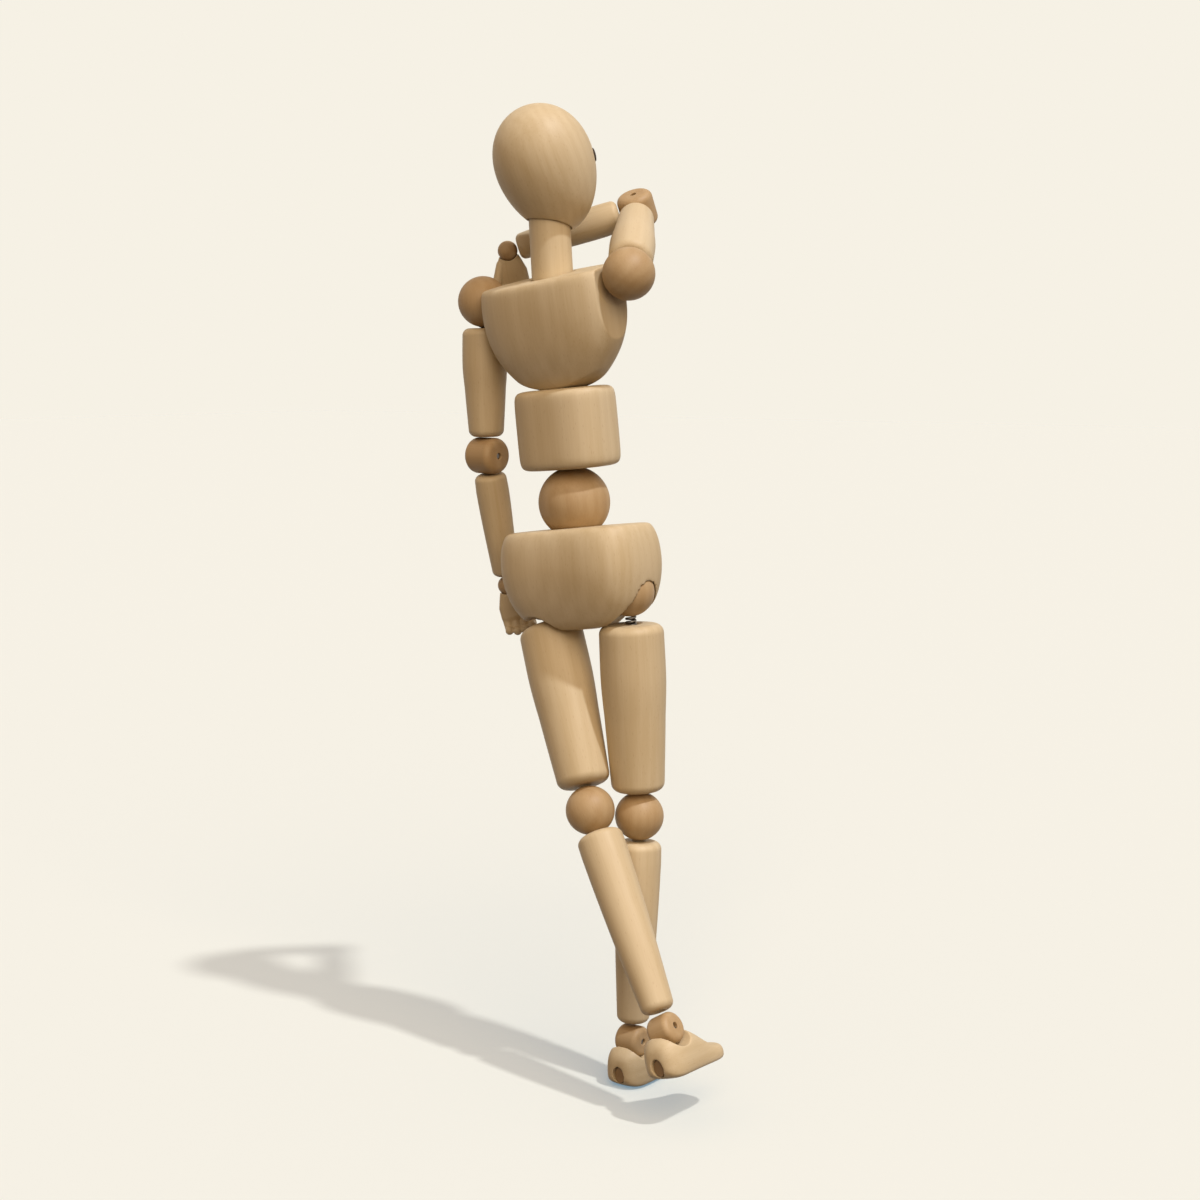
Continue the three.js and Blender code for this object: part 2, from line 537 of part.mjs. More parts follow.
// One arm: shoulder ball and pin, upper arm, elbow barrel, forearm, wrist ball and hand
function arm(name, side, shoulderTurn, elbowTurn, wristTurn) {
  const turns = { x: shoulderTurn.swing, y: shoulderTurn.tilt };
  const shoulder = frame(chest, side * SHOULDER_HALF, 0, 0, turns);
  const boreInBall = rodAlongZ(SPRING_BORE_R, -SHOULDER_BALL_R - 1, -PIN_R - 1);
  const ball = pinnedBall(SHOULDER_BALL_R, PIN_R).subtract(boreInBall);
  add(shoulder, `${name}_shoulder_ball`, ball, ballWood());
  add(shoulder, `${name}_shoulder_pin`, rodAlongX(PIN_R, 2 * (SHOULDER_BALL_R - PIN_INSET)), steel());
  const armTop = -SHOULDER_BALL_R - SEAT_GAP;
  const armEnd = ELBOW_BARREL.radius + SEAT_GAP - UPPER_ARM_SPAN;
  add(shoulder, `${name}_upper_arm`, limb(UPPER_ARM, armTop, armEnd), beech());
  const armSpring = coil(armEnd + SPRING_INSET, SPRING_HOLD - SHOULDER_BALL_R, SPRING_BORE_R - PIN_GAP);
  add(shoulder, `${name}_upper_arm_spring`, armSpring, steel());

  const elbow = frame(shoulder, 0, 0, -UPPER_ARM_SPAN, { x: elbowTurn.flex, z: elbowTurn.turn }, 'ZXY');
  add(elbow, `${name}_elbow_barrel`, pinnedBarrel(ELBOW_BARREL, PIN_R), ballWood());
  add(elbow, `${name}_elbow_pin`, rodAlongX(PIN_R, ELBOW_BARREL.length - 2 * SMALL_PIN_INSET), steel());
  const foreTop = -ELBOW_BARREL.radius - SEAT_GAP;
  const foreEnd = WRIST_BALL_R + SEAT_GAP - FOREARM_SPAN;
  const saddle = rodAlongX(ELBOW_BARREL.radius + SEAT_GAP, 30, 24);
  add(elbow, `${name}_forearm`, limb(FOREARM, foreTop, foreEnd).subtract(saddle), beech());
  const foreSpring = coil(foreEnd + SPRING_INSET, foreTop - 2 * SPRING_INSET, SPRING_BORE_R - PIN_GAP);
  add(elbow, `${name}_forearm_spring`, foreSpring, steel());

  const wristTurns = { x: wristTurn.bend, y: wristTurn.tilt, z: wristTurn.turn };
  const wrist = frame(elbow, 0, 0, -FOREARM_SPAN, wristTurns);
  add(wrist, `${name}_wrist_ball`, pinnedBall(WRIST_BALL_R, WRIST_PIN_R), ballWood());
  add(wrist, `${name}_wrist_pin`, rodAlongX(WRIST_PIN_R, 2 * (WRIST_BALL_R - SMALL_PIN_INSET)), steel());
  hand(wrist, name, side);
}

// A carved hand: palm to the back, four curled fingers side by side and a thumb on the inner side
function hand(wrist, name, side) {
  const { palmLength, halfWidth, halfThick, fingerLength, fingerR, curl } = HAND;
  const top = -0.4 * WRIST_BALL_R;
  const knuckles = top - palmLength;
  let body = solid(lofted([
    oval(0.88 * halfWidth, 0.62 * halfThick, knuckles - 0.7, 2.6, 16),
    oval(halfWidth, 0.9 * halfThick, knuckles + 0.6, 2.6, 16),
    oval(0.96 * halfWidth, halfThick, top - 0.55 * palmLength, 2.6, 16),
    oval(0.72 * halfWidth, 0.95 * halfThick, top - 0.2 * palmLength, 2.6, 16),
    oval(0.56 * halfWidth, 0.85 * halfThick, top, 2.6, 16),
  ]));
  // One finger bone from a joint, leaning sideways and curling towards the palm
  const bone = (from, length, radius, lean, bend) => {
    const capsule = new THREE.CapsuleGeometry(radius, length, 2, 8).rotateX(Math.PI / 2);
    capsule.translate(0, 0, -length / 2).rotateX(rad(bend)).rotateY(rad(lean)).translate(...from);
    return solid(capsule);
  };
  const pitch = (2 * (halfWidth - fingerR)) / 3;
  [0.88, 1, 0.96, 0.78].forEach((share, i) => {
    const length = 0.5 * share * fingerLength;
    const from = [side * (i - 1.5) * pitch * 0.98, -0.3, knuckles + 0.4];
    const bend = 0.4 * curl;
    const joint = [from[0], from[1] + length * Math.sin(rad(bend)), from[2] - length * Math.cos(rad(bend))];
    body = body.add(bone(from, length, fingerR, 0, bend));
    body = body.add(bone(joint, 0.8 * length, 0.95 * fingerR, 0, 1.9 * curl));
  });
  const thumbRoot = [-side * 0.55 * halfWidth, 0.6, top - 2.6];
  body = body.add(bone(thumbRoot, 5.4, 1.45, side * 22, 16));
  body = body.subtract(ballSolid(WRIST_BALL_R + SEAT_GAP, 0, 0, 0, 12));
  add(wrist, `${name}_hand`, body, beech());
}

arm('left', 1, POSE.leftShoulder, POSE.leftElbow, POSE.leftWrist);
arm('right', -1, POSE.rightShoulder, POSE.rightElbow, POSE.rightWrist);

figure.updateMatrixWorld(true);

export default figure;
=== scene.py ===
"""Looks of a wooden artist mannequin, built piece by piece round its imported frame."""
import json
import math

import bpy
from mathutils import Matrix, Vector


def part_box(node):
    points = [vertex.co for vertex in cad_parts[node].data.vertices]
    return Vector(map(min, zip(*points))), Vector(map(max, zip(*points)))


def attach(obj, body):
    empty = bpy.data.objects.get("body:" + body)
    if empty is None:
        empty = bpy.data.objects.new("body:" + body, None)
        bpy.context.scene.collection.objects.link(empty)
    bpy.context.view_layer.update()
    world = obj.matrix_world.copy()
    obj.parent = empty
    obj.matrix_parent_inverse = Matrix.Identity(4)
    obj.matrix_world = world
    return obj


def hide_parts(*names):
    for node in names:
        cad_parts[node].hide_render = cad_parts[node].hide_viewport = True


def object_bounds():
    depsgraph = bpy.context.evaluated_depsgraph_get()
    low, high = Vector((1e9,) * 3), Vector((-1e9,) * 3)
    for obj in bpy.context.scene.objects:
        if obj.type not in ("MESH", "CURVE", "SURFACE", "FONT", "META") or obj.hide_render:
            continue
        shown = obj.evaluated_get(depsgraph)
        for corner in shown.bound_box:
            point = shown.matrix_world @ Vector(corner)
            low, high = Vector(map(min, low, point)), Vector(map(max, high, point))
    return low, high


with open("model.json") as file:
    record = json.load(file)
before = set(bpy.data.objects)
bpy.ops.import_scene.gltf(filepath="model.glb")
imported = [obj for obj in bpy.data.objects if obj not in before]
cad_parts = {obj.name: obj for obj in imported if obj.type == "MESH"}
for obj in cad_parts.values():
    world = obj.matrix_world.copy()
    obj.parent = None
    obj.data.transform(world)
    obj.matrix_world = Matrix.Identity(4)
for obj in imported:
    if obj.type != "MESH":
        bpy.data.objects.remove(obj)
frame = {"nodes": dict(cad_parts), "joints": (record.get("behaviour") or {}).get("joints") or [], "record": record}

cad_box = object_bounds()

# Pelvis
# A rounded block of beech, sawn, shaped and sanded. Its underside is hollowed for the hip balls
# and thighs, its top for the waist ball, and a bore across it holds the spring between the hips.
MM = 0.001
HIP_HALF = 16.7
HIP_BALL_R = 7.5
WAIST_BALL_R = 10.9
SEAT_GAP = 0.3
PELVIS_HALF_WIDTH = 25
PELVIS_HALF_DEPTH = 16.1
PELVIS_BACK = 1.1
PELVIS_LOW = -10.4
PELVIS_SQUARE = 3.4
WAIST_BACK = 1.6
WAIST_ABOVE_HIPS = 28.1
SPRING_BORE_R = 1.9
ROD_SOCKET_R = 2.1
ROD_SOCKET_DEPTH = 5
ROD_SOCKET_FORWARD = 5
THIGH_SETBACK = 2.4
THIGH_TOP_R = 9.8
THIGH_EDGE = 2.8
HOLLOW_GAP = 0.4
HOLLOW_SIDES = 48
MOUTH_ABOVE_HIPS = 1
BLOCK_GRIT = 0.42
SAND_PASSES = 3
# Rings of the block from below: shares of the half width and of the half depth, and the height
PELVIS_RINGS = (
    (0.34, 0.48, 0), (0.56, 0.58, 0.8), (0.73, 0.68, 2.6), (0.86, 0.79, 5.7), (0.945, 0.9, 10),
    (0.99, 0.98, 15.4), (1, 1, 20), (0.985, 0.98, 25.3), (0.94, 0.92, 28.9), (0.9, 0.86, 30.3),
    (0.86, 0.78, 30.8),
)
# Degrees that the left and the right thigh lean inwards and swing back, at the ends of their ranges
LEG_RANGES = ((1, (11, 17.2), (9.3, 21.5)), (-1, (-3.1, 4.1), (-22.3, -1.1)))
BEECH_PALE = (0.655, 0.548, 0.368, 1)
BEECH_DEEP = (0.546, 0.430, 0.254, 1)
BEECH_FLECK = (0.36, 0.215, 0.105, 1)
# Noises of the grain: repeats per mm across it and along it, detail, and a shift to its seed
BANDS = (0.22, 0.006, 2, 0)
FIBRES = (2.4, 0.07, 3, 3.1)
CLOUDS = (0.05, 0.03, 1, 7.7)
SWING = (0.06, 0.012, 1, 5.3)
NOISE_ROUGHNESS = 0.6
BAND_CONTRAST = 1.5
FIBRE_CONTRAST = 0.8
CLOUD_CONTRAST = 0.9
RING_CONTRAST = 0.1
RINGS_ACROSS = 0.5
RINGS_DEEP = 1.9
RING_SWING = 16
FLECK_STRETCH = (0.8, 0.8, 0.2)
FLECK_SCALE = 1.6
FLECK_CORE = 0.04
FLECK_RIM = 0.2
FLECK_TINT = 0.3
SANDED_ROUGHNESS = 0.47
FIBRE_ROUGHNESS = 0.14
FIBRE_RELIEF = 0.6
FLECK_RELIEF = 0.5
RELIEF_STRENGTH = 0.25
RELIEF_DEPTH = 0.08
joints = {joint["name"]: joint for joint in frame["joints"]}
mounts = {mount["name"]: mount for mount in frame["record"]["mounts"]}


def pivot(joint):
    """Where a joint turns."""
    return Vector(joints[joint]["pos_m"])


def axis(joint):
    """The axis that a joint turns about."""
    return Vector(joints[joint]["axis"]).normalized()


def placed(origin, along_x, along_z):
    """A piece's own frame: its pin lies along X and its length along Z."""
    z = Vector(along_z).normalized()
    x = (along_x - along_x.dot(z) * z).normalized()
    turn = Matrix((x, z.cross(x), z)).transposed()
    return Matrix.Translation(origin) @ turn.to_4x4()


class Link:
    """An output of a shader tree. Sums on it add Math nodes, and node() adds any other."""

    def __init__(self, tree, socket=None):
        self.tree = tree
        self.socket = socket

    def node(self, kind, inputs=None, output=0, **settings):
        made = self.tree.nodes.new(kind)
        for name, value in settings.items():
            setattr(made, name, value)
        for name, value in (inputs or {}).items():
            if isinstance(value, Link):
                self.tree.links.new(value.socket, made.inputs[name])
            else:
                made.inputs[name].default_value = value
        return Link(self.tree, made.outputs[output])

    def sum(self, operation, a, b):
        return self.node("ShaderNodeMath", {0: a, 1: b}, operation=operation)

    def __add__(self, other):
        return self.sum("ADD", self, other)

    def __radd__(self, other):
        return self.sum("ADD", other, self)

    def __sub__(self, other):
        return self.sum("SUBTRACT", self, other)

    def __rsub__(self, other):
        return self.sum("SUBTRACT", other, self)

    def __mul__(self, other):
        return self.sum("MULTIPLY", self, other)

    def __rmul__(self, other):
        return self.sum("MULTIPLY", other, self)


def wood(name, place, seed, pale=BEECH_PALE, deep=BEECH_DEEP, fleck=BEECH_FLECK):
    """Sanded beech whose grain runs along the piece's own Z, with pores, bands and ray flecks."""
    material = bpy.data.materials.new(name)
    material.use_nodes = True
    tree = material.node_tree
    shader = tree.nodes["Principled BSDF"]
    start = Link(tree)
    at = start.node("ShaderNodeTexCoord", output="Object")
    turn = place.to_euler()
    where = {"Vector": at, "Location": place.translation, "Rotation": turn, "Scale": (MM, MM, MM)}
    local = start.node("ShaderNodeMapping", where, vector_type="TEXTURE")

    def noise(across, along, detail, shift):
        scale = (across, across, along)
        stretched = start.node("ShaderNodeMapping", {"Vector": local, "Scale": scale}, vector_type="POINT")
        inputs = {
            "Vector": stretched, "W": seed + shift, "Scale": 1, "Detail": detail,
            "Roughness": NOISE_ROUGHNESS,
        }
        return start.node("ShaderNodeTexNoise", inputs, noise_dimensions="4D")

    bands = noise(*BANDS)
    fibres = noise(*FIBRES)
    clouds = noise(*CLOUDS)
    swing = noise(*SWING)
    parts = start.node("ShaderNodeSeparateXYZ", {"Vector": local})
    side = Link(tree, parts.socket.node.outputs["X"])
    depth = Link(tree, parts.socket.node.outputs["Y"])
    rings = start.sum("SINE", side * RINGS_ACROSS + depth * RINGS_DEEP + swing * RING_SWING + seed, 0)
    tone = 0.5 + (bands - 0.5) * BAND_CONTRAST + (fibres - 0.5) * FIBRE_CONTRAST
    tone = tone + (clouds - 0.5) * CLOUD_CONTRAST + rings * RING_CONTRAST
    tint = start.node("ShaderNodeMix", {0: tone, 6: deep, 7: pale}, 2, data_type="RGBA")

    stretch = {"Vector": local, "Scale": FLECK_STRETCH}
    cells = start.node("ShaderNodeMapping", stretch, vector_type="POINT")
    spread = {"Vector": cells, "Scale": FLECK_SCALE, "Randomness": 1}
    spots = start.node("ShaderNodeTexVoronoi", spread, "Distance")
    edges = {"Value": spots, 1: FLECK_CORE, 2: FLECK_RIM, 3: 1, 4: 0}
    flecks = start.node("ShaderNodeMapRange", edges, clamp=True)
    colour = start.node("ShaderNodeMix", {0: flecks * FLECK_TINT, 6: tint, 7: fleck}, 2, data_type="RGBA")
    tree.links.new(colour.socket, shader.inputs["Base Color"])

    rough = SANDED_ROUGHNESS + fibres * FIBRE_ROUGHNESS
    tree.links.new(rough.socket, shader.inputs["Roughness"])
    relief = {
        "Height": fibres * FIBRE_RELIEF - flecks * FLECK_RELIEF, "Strength": RELIEF_STRENGTH,
        "Distance": RELIEF_DEPTH * MM,
    }
    bump = start.node("ShaderNodeBump", relief)
    tree.links.new(bump.socket, shader.inputs["Normal"])
    return material


# How finely outlines and cutters are divided, and the width of a seam that is welded
BLOCK_SIDES = 32
LATHE_SIDES = 64
SEAM = 0.001
BALL_CUTTER_SIDES = 96
BALL_CUTTER_RINGS = 64
DRILL_SIDES = 64


def superellipse(square, sides=BLOCK_SIDES):
    """A unit outline in the XY plane, an ellipse at 2 and boxier above it."""
    power = 2 / square
    turns = [2 * math.pi * i / sides for i in range(sides)]
    return [
        (math.copysign(abs(math.cos(t)) ** power, math.cos(t)),
         math.copysign(abs(math.sin(t)) ** power, math.sin(t)), 0)
        for t in turns
    ]


def pulled(name, outline, rings, tube=False):
    """A skin pulled from one outline through rings of (centre, size), in mm, and closed at its ends."""
    bpy.ops.object.select_all(action="DESELECT")
    bpy.ops.mesh.primitive_circle_add(vertices=len(outline), radius=1)
    piece = bpy.context.object
    piece.name = piece.data.name = name
    centre, size = rings[0]
    for vertex, unit in zip(piece.data.vertices, outline):
        vertex.co = [c + u * s for c, u, s in zip(centre, unit, size)]
    bpy.ops.object.mode_set(mode="EDIT")
    bpy.ops.mesh.select_all(action="SELECT")
    for (from_centre, from_size), (centre, size) in zip(rings, rings[1:]):
        step = [b - a for a, b in zip(from_centre, centre)]
        bpy.ops.mesh.extrude_region_move(TRANSFORM_OT_translate={"value": step})
        grow = [b / a for a, b in zip(from_size, size)]
        bpy.ops.transform.resize(value=grow, center_override=centre)
    if tube:
        bpy.ops.mesh.select_all(action="SELECT")
        bpy.ops.mesh.remove_doubles(threshold=SEAM)
    else:
        bpy.ops.mesh.extrude_region_move()
        bpy.ops.mesh.merge(type="COLLAPSE")
        bpy.ops.mesh.select_all(action="DESELECT")
        bpy.ops.mesh.select_non_manifold()
        bpy.ops.mesh.extrude_region_move()
        bpy.ops.mesh.merge(type="COLLAPSE")
    bpy.ops.mesh.select_all(action="SELECT")
    bpy.ops.mesh.normals_make_consistent(inside=False)
    bpy.ops.object.mode_set(mode="OBJECT")
    return piece


def turned(name, profile, sides=LATHE_SIDES):
    """A piece turned on a lathe about Z, from (radius, height) pairs in mm."""
    circle = superellipse(2, sides)
    rings = [((0, 0, z), (max(r, SEAM), max(r, SEAM), 1)) for r, z in profile]
    return pulled(name, circle, rings, tube=profile[0] == profile[-1])


def arc(r, z, radius, start, end, steps):
    """Points of an arc in a lathe profile, its angles in degrees from the outward direction."""
    angles = [math.radians(start + (end - start) * i / steps) for i in range(steps + 1)]
    return [(r + radius * math.cos(a), z + radius * math.sin(a)) for a in angles]


def joined(pieces):
    """Glues pieces into the first."""
    bpy.ops.object.select_all(action="DESELECT")
    for piece in pieces:
        piece.select_set(True)
    bpy.context.view_layer.objects.active = pieces[0]
    bpy.ops.object.join()
    return pieces[0]


def modified(piece, kind, **settings):
    """Adds one modifier to a piece and applies it."""
    modifier = piece.modifiers.new(kind.lower(), kind)
    for name, value in settings.items():
        setattr(modifier, name, value)
    bpy.ops.object.select_all(action="DESELECT")
    bpy.context.view_layer.objects.active = piece
    piece.select_set(True)
    bpy.ops.object.modifier_apply(modifier=modifier.name)
    return piece


def cut(piece, tool, operation="DIFFERENCE"):
    """Cuts a piece with a tool, which is used up."""
    modified(piece, "BOOLEAN", operation=operation, solver="EXACT", object=tool)
    bpy.data.objects.remove(tool)


def ball_tool(radius, centre=(0, 0, 0)):
    """A round cutter."""
    bpy.ops.mesh.primitive_uv_sphere_add(
        segments=BALL_CUTTER_SIDES, ring_count=BALL_CUTTER_RINGS, radius=radius, location=centre
    )
    return bpy.context.object


def rod_tool(radius, length, centre=(0, 0, 0), turn=(0, 0, 0)):
    """A drill, along Z unless it is turned."""
    bpy.ops.mesh.primitive_cylinder_add(
        vertices=DRILL_SIDES, radius=radius, depth=length, location=centre, rotation=turn
    )
    return bpy.context.object


def sanded(piece, grit, passes):
    """Rounds a carved piece's edges as sandpaper does."""
    modified(piece, "REMESH", mode="VOXEL", voxel_size=grit)
    modified(piece, "SMOOTH", factor=0.5, iterations=passes)
    return piece


def settled(piece, place, body, node, material, smooth=180):
    """Puts a finished piece where its CAD node is, in metres, on its body and with its finish."""
    bpy.ops.object.select_all(action="DESELECT")
    bpy.context.view_layer.objects.active = piece
    piece.select_set(True)
    piece.matrix_world = place @ Matrix.Scale(MM, 4)
    bpy.ops.object.transform_apply(location=True, rotation=True, scale=True)
    bpy.ops.object.shade_smooth_by_angle(angle=math.radians(smooth))
    piece.data.materials.clear()
    piece.data.materials.append(material)
    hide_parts(node)
    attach(piece, body)
    return piece


hips_middle = (pivot("left_hip_swing") + pivot("right_hip_swing")) / 2
hips_across = pivot("left_hip_swing") - pivot("right_hip_swing")
pelvis_place = placed(hips_middle, hips_across, hips_across.cross(axis("waist_side_bend")))
pelvis_rings = [
    ((0, PELVIS_BACK, PELVIS_LOW + z), (wide * PELVIS_HALF_WIDTH, deep * PELVIS_HALF_DEPTH, 1))
    for wide, deep, z in PELVIS_RINGS
]
pelvis = pulled("pelvis_block", superellipse(PELVIS_SQUARE), pelvis_rings)
modified(pelvis, "SUBSURF", levels=2, render_levels=2)
thigh_top = -HIP_BALL_R - THIGH_SETBACK
thigh_head = [
    (0, thigh_top - THIGH_TOP_R), (THIGH_TOP_R + HOLLOW_GAP, thigh_top - THIGH_TOP_R),
    *arc(THIGH_TOP_R - THIGH_EDGE, thigh_top - THIGH_EDGE, THIGH_EDGE + HOLLOW_GAP, 0, 90, 8),
    (0, thigh_top + HOLLOW_GAP),
]
for side, inward, back in LEG_RANGES:
    hip = Matrix.Translation((side * HIP_HALF, 0, 0))
    cut(pelvis, ball_tool(HIP_BALL_R + SEAT_GAP, hip.translation))
    mouth_depth = MOUTH_ABOVE_HIPS - PELVIS_LOW
    cut(pelvis, rod_tool(HIP_BALL_R + SEAT_GAP, mouth_depth, (side * HIP_HALF, 0, -mouth_depth / 2)))
    # The room that the thigh's rounded top takes while it leans over its range
    leans = []
    for lean in inward:
        for swing in (back[0], sum(back) / 2, back[1]):
            swung = Matrix.Rotation(math.radians(swing), 4, "X")
            leant = Matrix.Rotation(math.radians(side * lean), 4, "Y")
            thigh_room = turned("thigh_head", thigh_head, HOLLOW_SIDES)
            thigh_room.data.transform(hip @ (leant @ swung))
            leans.append(thigh_room)
    room = joined(leans)
    bpy.ops.object.mode_set(mode="EDIT")
    bpy.ops.mesh.select_all(action="SELECT")
    bpy.ops.mesh.convex_hull(use_existing_faces=False)
    bpy.ops.mesh.select_all(action="SELECT")
    bpy.ops.mesh.normals_make_consistent(inside=False)
    bpy.ops.object.mode_set(mode="OBJECT")
    cut(pelvis, room)
cut(pelvis, ball_tool(WAIST_BALL_R + SEAT_GAP, (0, WAIST_BACK, WAIST_ABOVE_HIPS)))
cut(pelvis, rod_tool(SPRING_BORE_R, 2 * HIP_HALF, turn=(0, math.pi / 2, 0)))
cut(pelvis, rod_tool(ROD_SOCKET_R, 2 * ROD_SOCKET_DEPTH, (0, -ROD_SOCKET_FORWARD, PELVIS_LOW)))
sanded(pelvis, BLOCK_GRIT, SAND_PASSES)
settled(pelvis, pelvis_place, "pelvis", "pelvis", wood("pelvis_beech", pelvis_place, seed=1.3))

# Turned balls
# Each joint ball is turned from a darker, redder stick than the blocks. Its steel pin lies in a
# bore across it, whose ends are closed, so that the ball looks whole.
BALL_PALE = (0.480, 0.345, 0.190, 1)
BALL_DEEP = (0.388, 0.250, 0.115, 1)
BALL_FLECK = (0.30, 0.16, 0.06, 1)
SHOULDER_BALL_R = 7.8
KNEE_BALL_R = 7.4
WRIST_BALL_R = 3.1
WAIST_PIN_R = 1.1
LIMB_PIN_R = 0.8
WRIST_PIN_R = 0.48
PIN_GAP = 0.15
PLUG_THICK = 0.8
BALL_STEPS = 60
# Name, radius, radius of the pin, joint of the pin, joint along the limb, and seed of the grain
BALLS = (
    ("waist_ball", WAIST_BALL_R, WAIST_PIN_R, "waist_bend", "waist_turn", 2.1),
    ("left_shoulder_ball", SHOULDER_BALL_R, LIMB_PIN_R, "left_shoulder_swing", "left_arm_turn", 4.4),
    ("right_shoulder_ball", SHOULDER_BALL_R, LIMB_PIN_R, "right_shoulder_swing", "right_arm_turn", 6.2),
    ("left_wrist_ball", WRIST_BALL_R, WRIST_PIN_R, "left_wrist_bend", "left_hand_turn", 8.9),
    ("right_wrist_ball", WRIST_BALL_R, WRIST_PIN_R, "right_wrist_bend", "right_hand_turn", 10.3),
    ("left_hip_ball", HIP_BALL_R, LIMB_PIN_R, "left_hip_swing", "left_leg_turn", 12.7),
    ("right_hip_ball", HIP_BALL_R, LIMB_PIN_R, "right_hip_swing", "right_leg_turn", 14.1),
    ("left_knee_ball", KNEE_BALL_R, LIMB_PIN_R, "left_knee_flex", "left_shin_turn", 16.5),
    ("right_knee_ball", KNEE_BALL_R, LIMB_PIN_R, "right_knee_flex", "right_shin_turn", 18.8),
)


def lies_along_x(piece):
    """Lays a turned piece down, so that its own axis is the pin's."""
    piece.data.transform(Matrix.Rotation(math.pi / 2, 4, "Y"))
    return piece


for name, radius, pin_r, pin_axis, long_axis, seed in BALLS:
    ball = turned(name + "_turning", arc(0, 0, radius, -90, 90, BALL_STEPS))
    lies_along_x(ball)
    hole = pin_r + PIN_GAP
    cut(ball, rod_tool(hole, 2 * (radius - PLUG_THICK), turn=(0, math.pi / 2, 0)))
    ball_place = placed(pivot(pin_axis), axis(pin_axis), axis(long_axis))
    ball_wood = wood(name + "_wood", ball_place, seed, BALL_PALE, BALL_DEEP, BALL_FLECK)
    settled(ball, ball_place, name, name, ball_wood, smooth=40)

# Abdomen
# A short rounded block between the waist ball and the chest, dished at both ends, with a bore
# through it for the spine's spring.
ABDOMEN_HALF_WIDTH = 15.9
ABDOMEN_HALF_DEPTH = 11.8
ABDOMEN_LOW = 10.3
ABDOMEN_HEIGHT = 24.3
ABDOMEN_EDGE = 3
ABDOMEN_SQUARE = 2.6
CHEST_SEAT_R = 30
CHEST_SEAT_SINK = 1.2
SMALL_BLOCK_GRIT = 0.36
waist_place = placed(pivot("waist_turn"), axis("waist_bend"), axis("waist_turn"))
abdomen_top = ABDOMEN_LOW + ABDOMEN_HEIGHT
face_inset = 2.2 * ABDOMEN_EDGE
edge_start = 1.35 * ABDOMEN_EDGE
edge_middle = 0.08 * ABDOMEN_EDGE
# Rings of the block from below: how far they lie inside its width and depth, and their height
abdomen_profile = [
    (face_inset, ABDOMEN_LOW),
    (edge_start, ABDOMEN_LOW),
    (edge_middle, ABDOMEN_LOW + edge_middle),
    (0, ABDOMEN_LOW + edge_start),
    (0, ABDOMEN_LOW + 0.5 * ABDOMEN_HEIGHT),
    (0, abdomen_top - edge_start),
    (edge_middle, abdomen_top - edge_middle),
    (edge_start, abdomen_top),
    (face_inset, abdomen_top),
]
abdomen_rings = [
    ((0, 0, z), (ABDOMEN_HALF_WIDTH - inset, ABDOMEN_HALF_DEPTH - inset, 1)) for inset, z in abdomen_profile
]
abdomen = pulled("abdomen_block", superellipse(ABDOMEN_SQUARE), abdomen_rings)
modified(abdomen, "SUBSURF", levels=2, render_levels=2)
cut(abdomen, ball_tool(WAIST_BALL_R + SEAT_GAP))
cut(abdomen, ball_tool(CHEST_SEAT_R, (0, 0, abdomen_top - CHEST_SEAT_SINK + CHEST_SEAT_R)))
cut(abdomen, rod_tool(SPRING_BORE_R, 4 * ABDOMEN_HEIGHT))
sanded(abdomen, SMALL_BLOCK_GRIT, SAND_PASSES)
settled(abdomen, waist_place, "abdomen", "abdomen", wood("abdomen_beech", waist_place, seed=21.7))

# Chest
# The largest block, widest under the shoulders and drawn in to a small domed foot. Flat cheeks
# and round dishes are cut into its sides for the shoulders, and a flared mouth into its top for the neck.
CHEST_HALF_WIDTH = 25.2
CHEST_HALF_DEPTH = 12.9
CHEST_BACK = 1.5
CHEST_TOP = 3.5
CHEST_LOW = -30.9
CHEST_SQUARE = 2.4
CHEST_CHEEK = 21.9
CHEST_DISH_R = 20
CHEST_TOP_SLOPE = math.atan(0.16)
CHEST_SLOPE_FROM = 24.9
CHEEK_CUTTER = (20, 60, 80)
SHOULDER_HALF = 28.1
UPPER_ARM_R = 6.7
ARM_NOTCH_LENGTH = 20
NECK_R = 6.25
NECK_MOUTH = 2.6
NECK_MOUTH_HEIGHT = 6
NECK_ABOVE = 3
# Rings of the block from below: shares of the half width and of the half depth, and the height
CHEST_RINGS = (
    (0.3, 0.36, 0), (0.44, 0.48, 1), (0.6, 0.62, 3.6), (0.76, 0.78, 8), (0.88, 0.9, 12.5),
    (0.975, 0.98, 19), (1, 1, 24.9), (0.995, 0.985, 29.7), (0.98, 0.965, 32.6), (0.955, 0.915, 34.2),
    (0.9, 0.8, 34.4),
)
shoulders_middle = (pivot("left_shoulder_swing") + pivot("right_shoulder_swing")) / 2
shoulders_across = pivot("left_shoulder_swing") - pivot("right_shoulder_swing")
chest_place = placed(shoulders_middle, shoulders_across, shoulders_across.cross(axis("neck_side_bend")))
chest_rings = [
    ((0, CHEST_BACK, CHEST_LOW + z), (wide * CHEST_HALF_WIDTH, deep * CHEST_HALF_DEPTH, 1))
    for wide, deep, z in CHEST_RINGS
]
chest = pulled("chest_block", superellipse(CHEST_SQUARE), chest_rings)
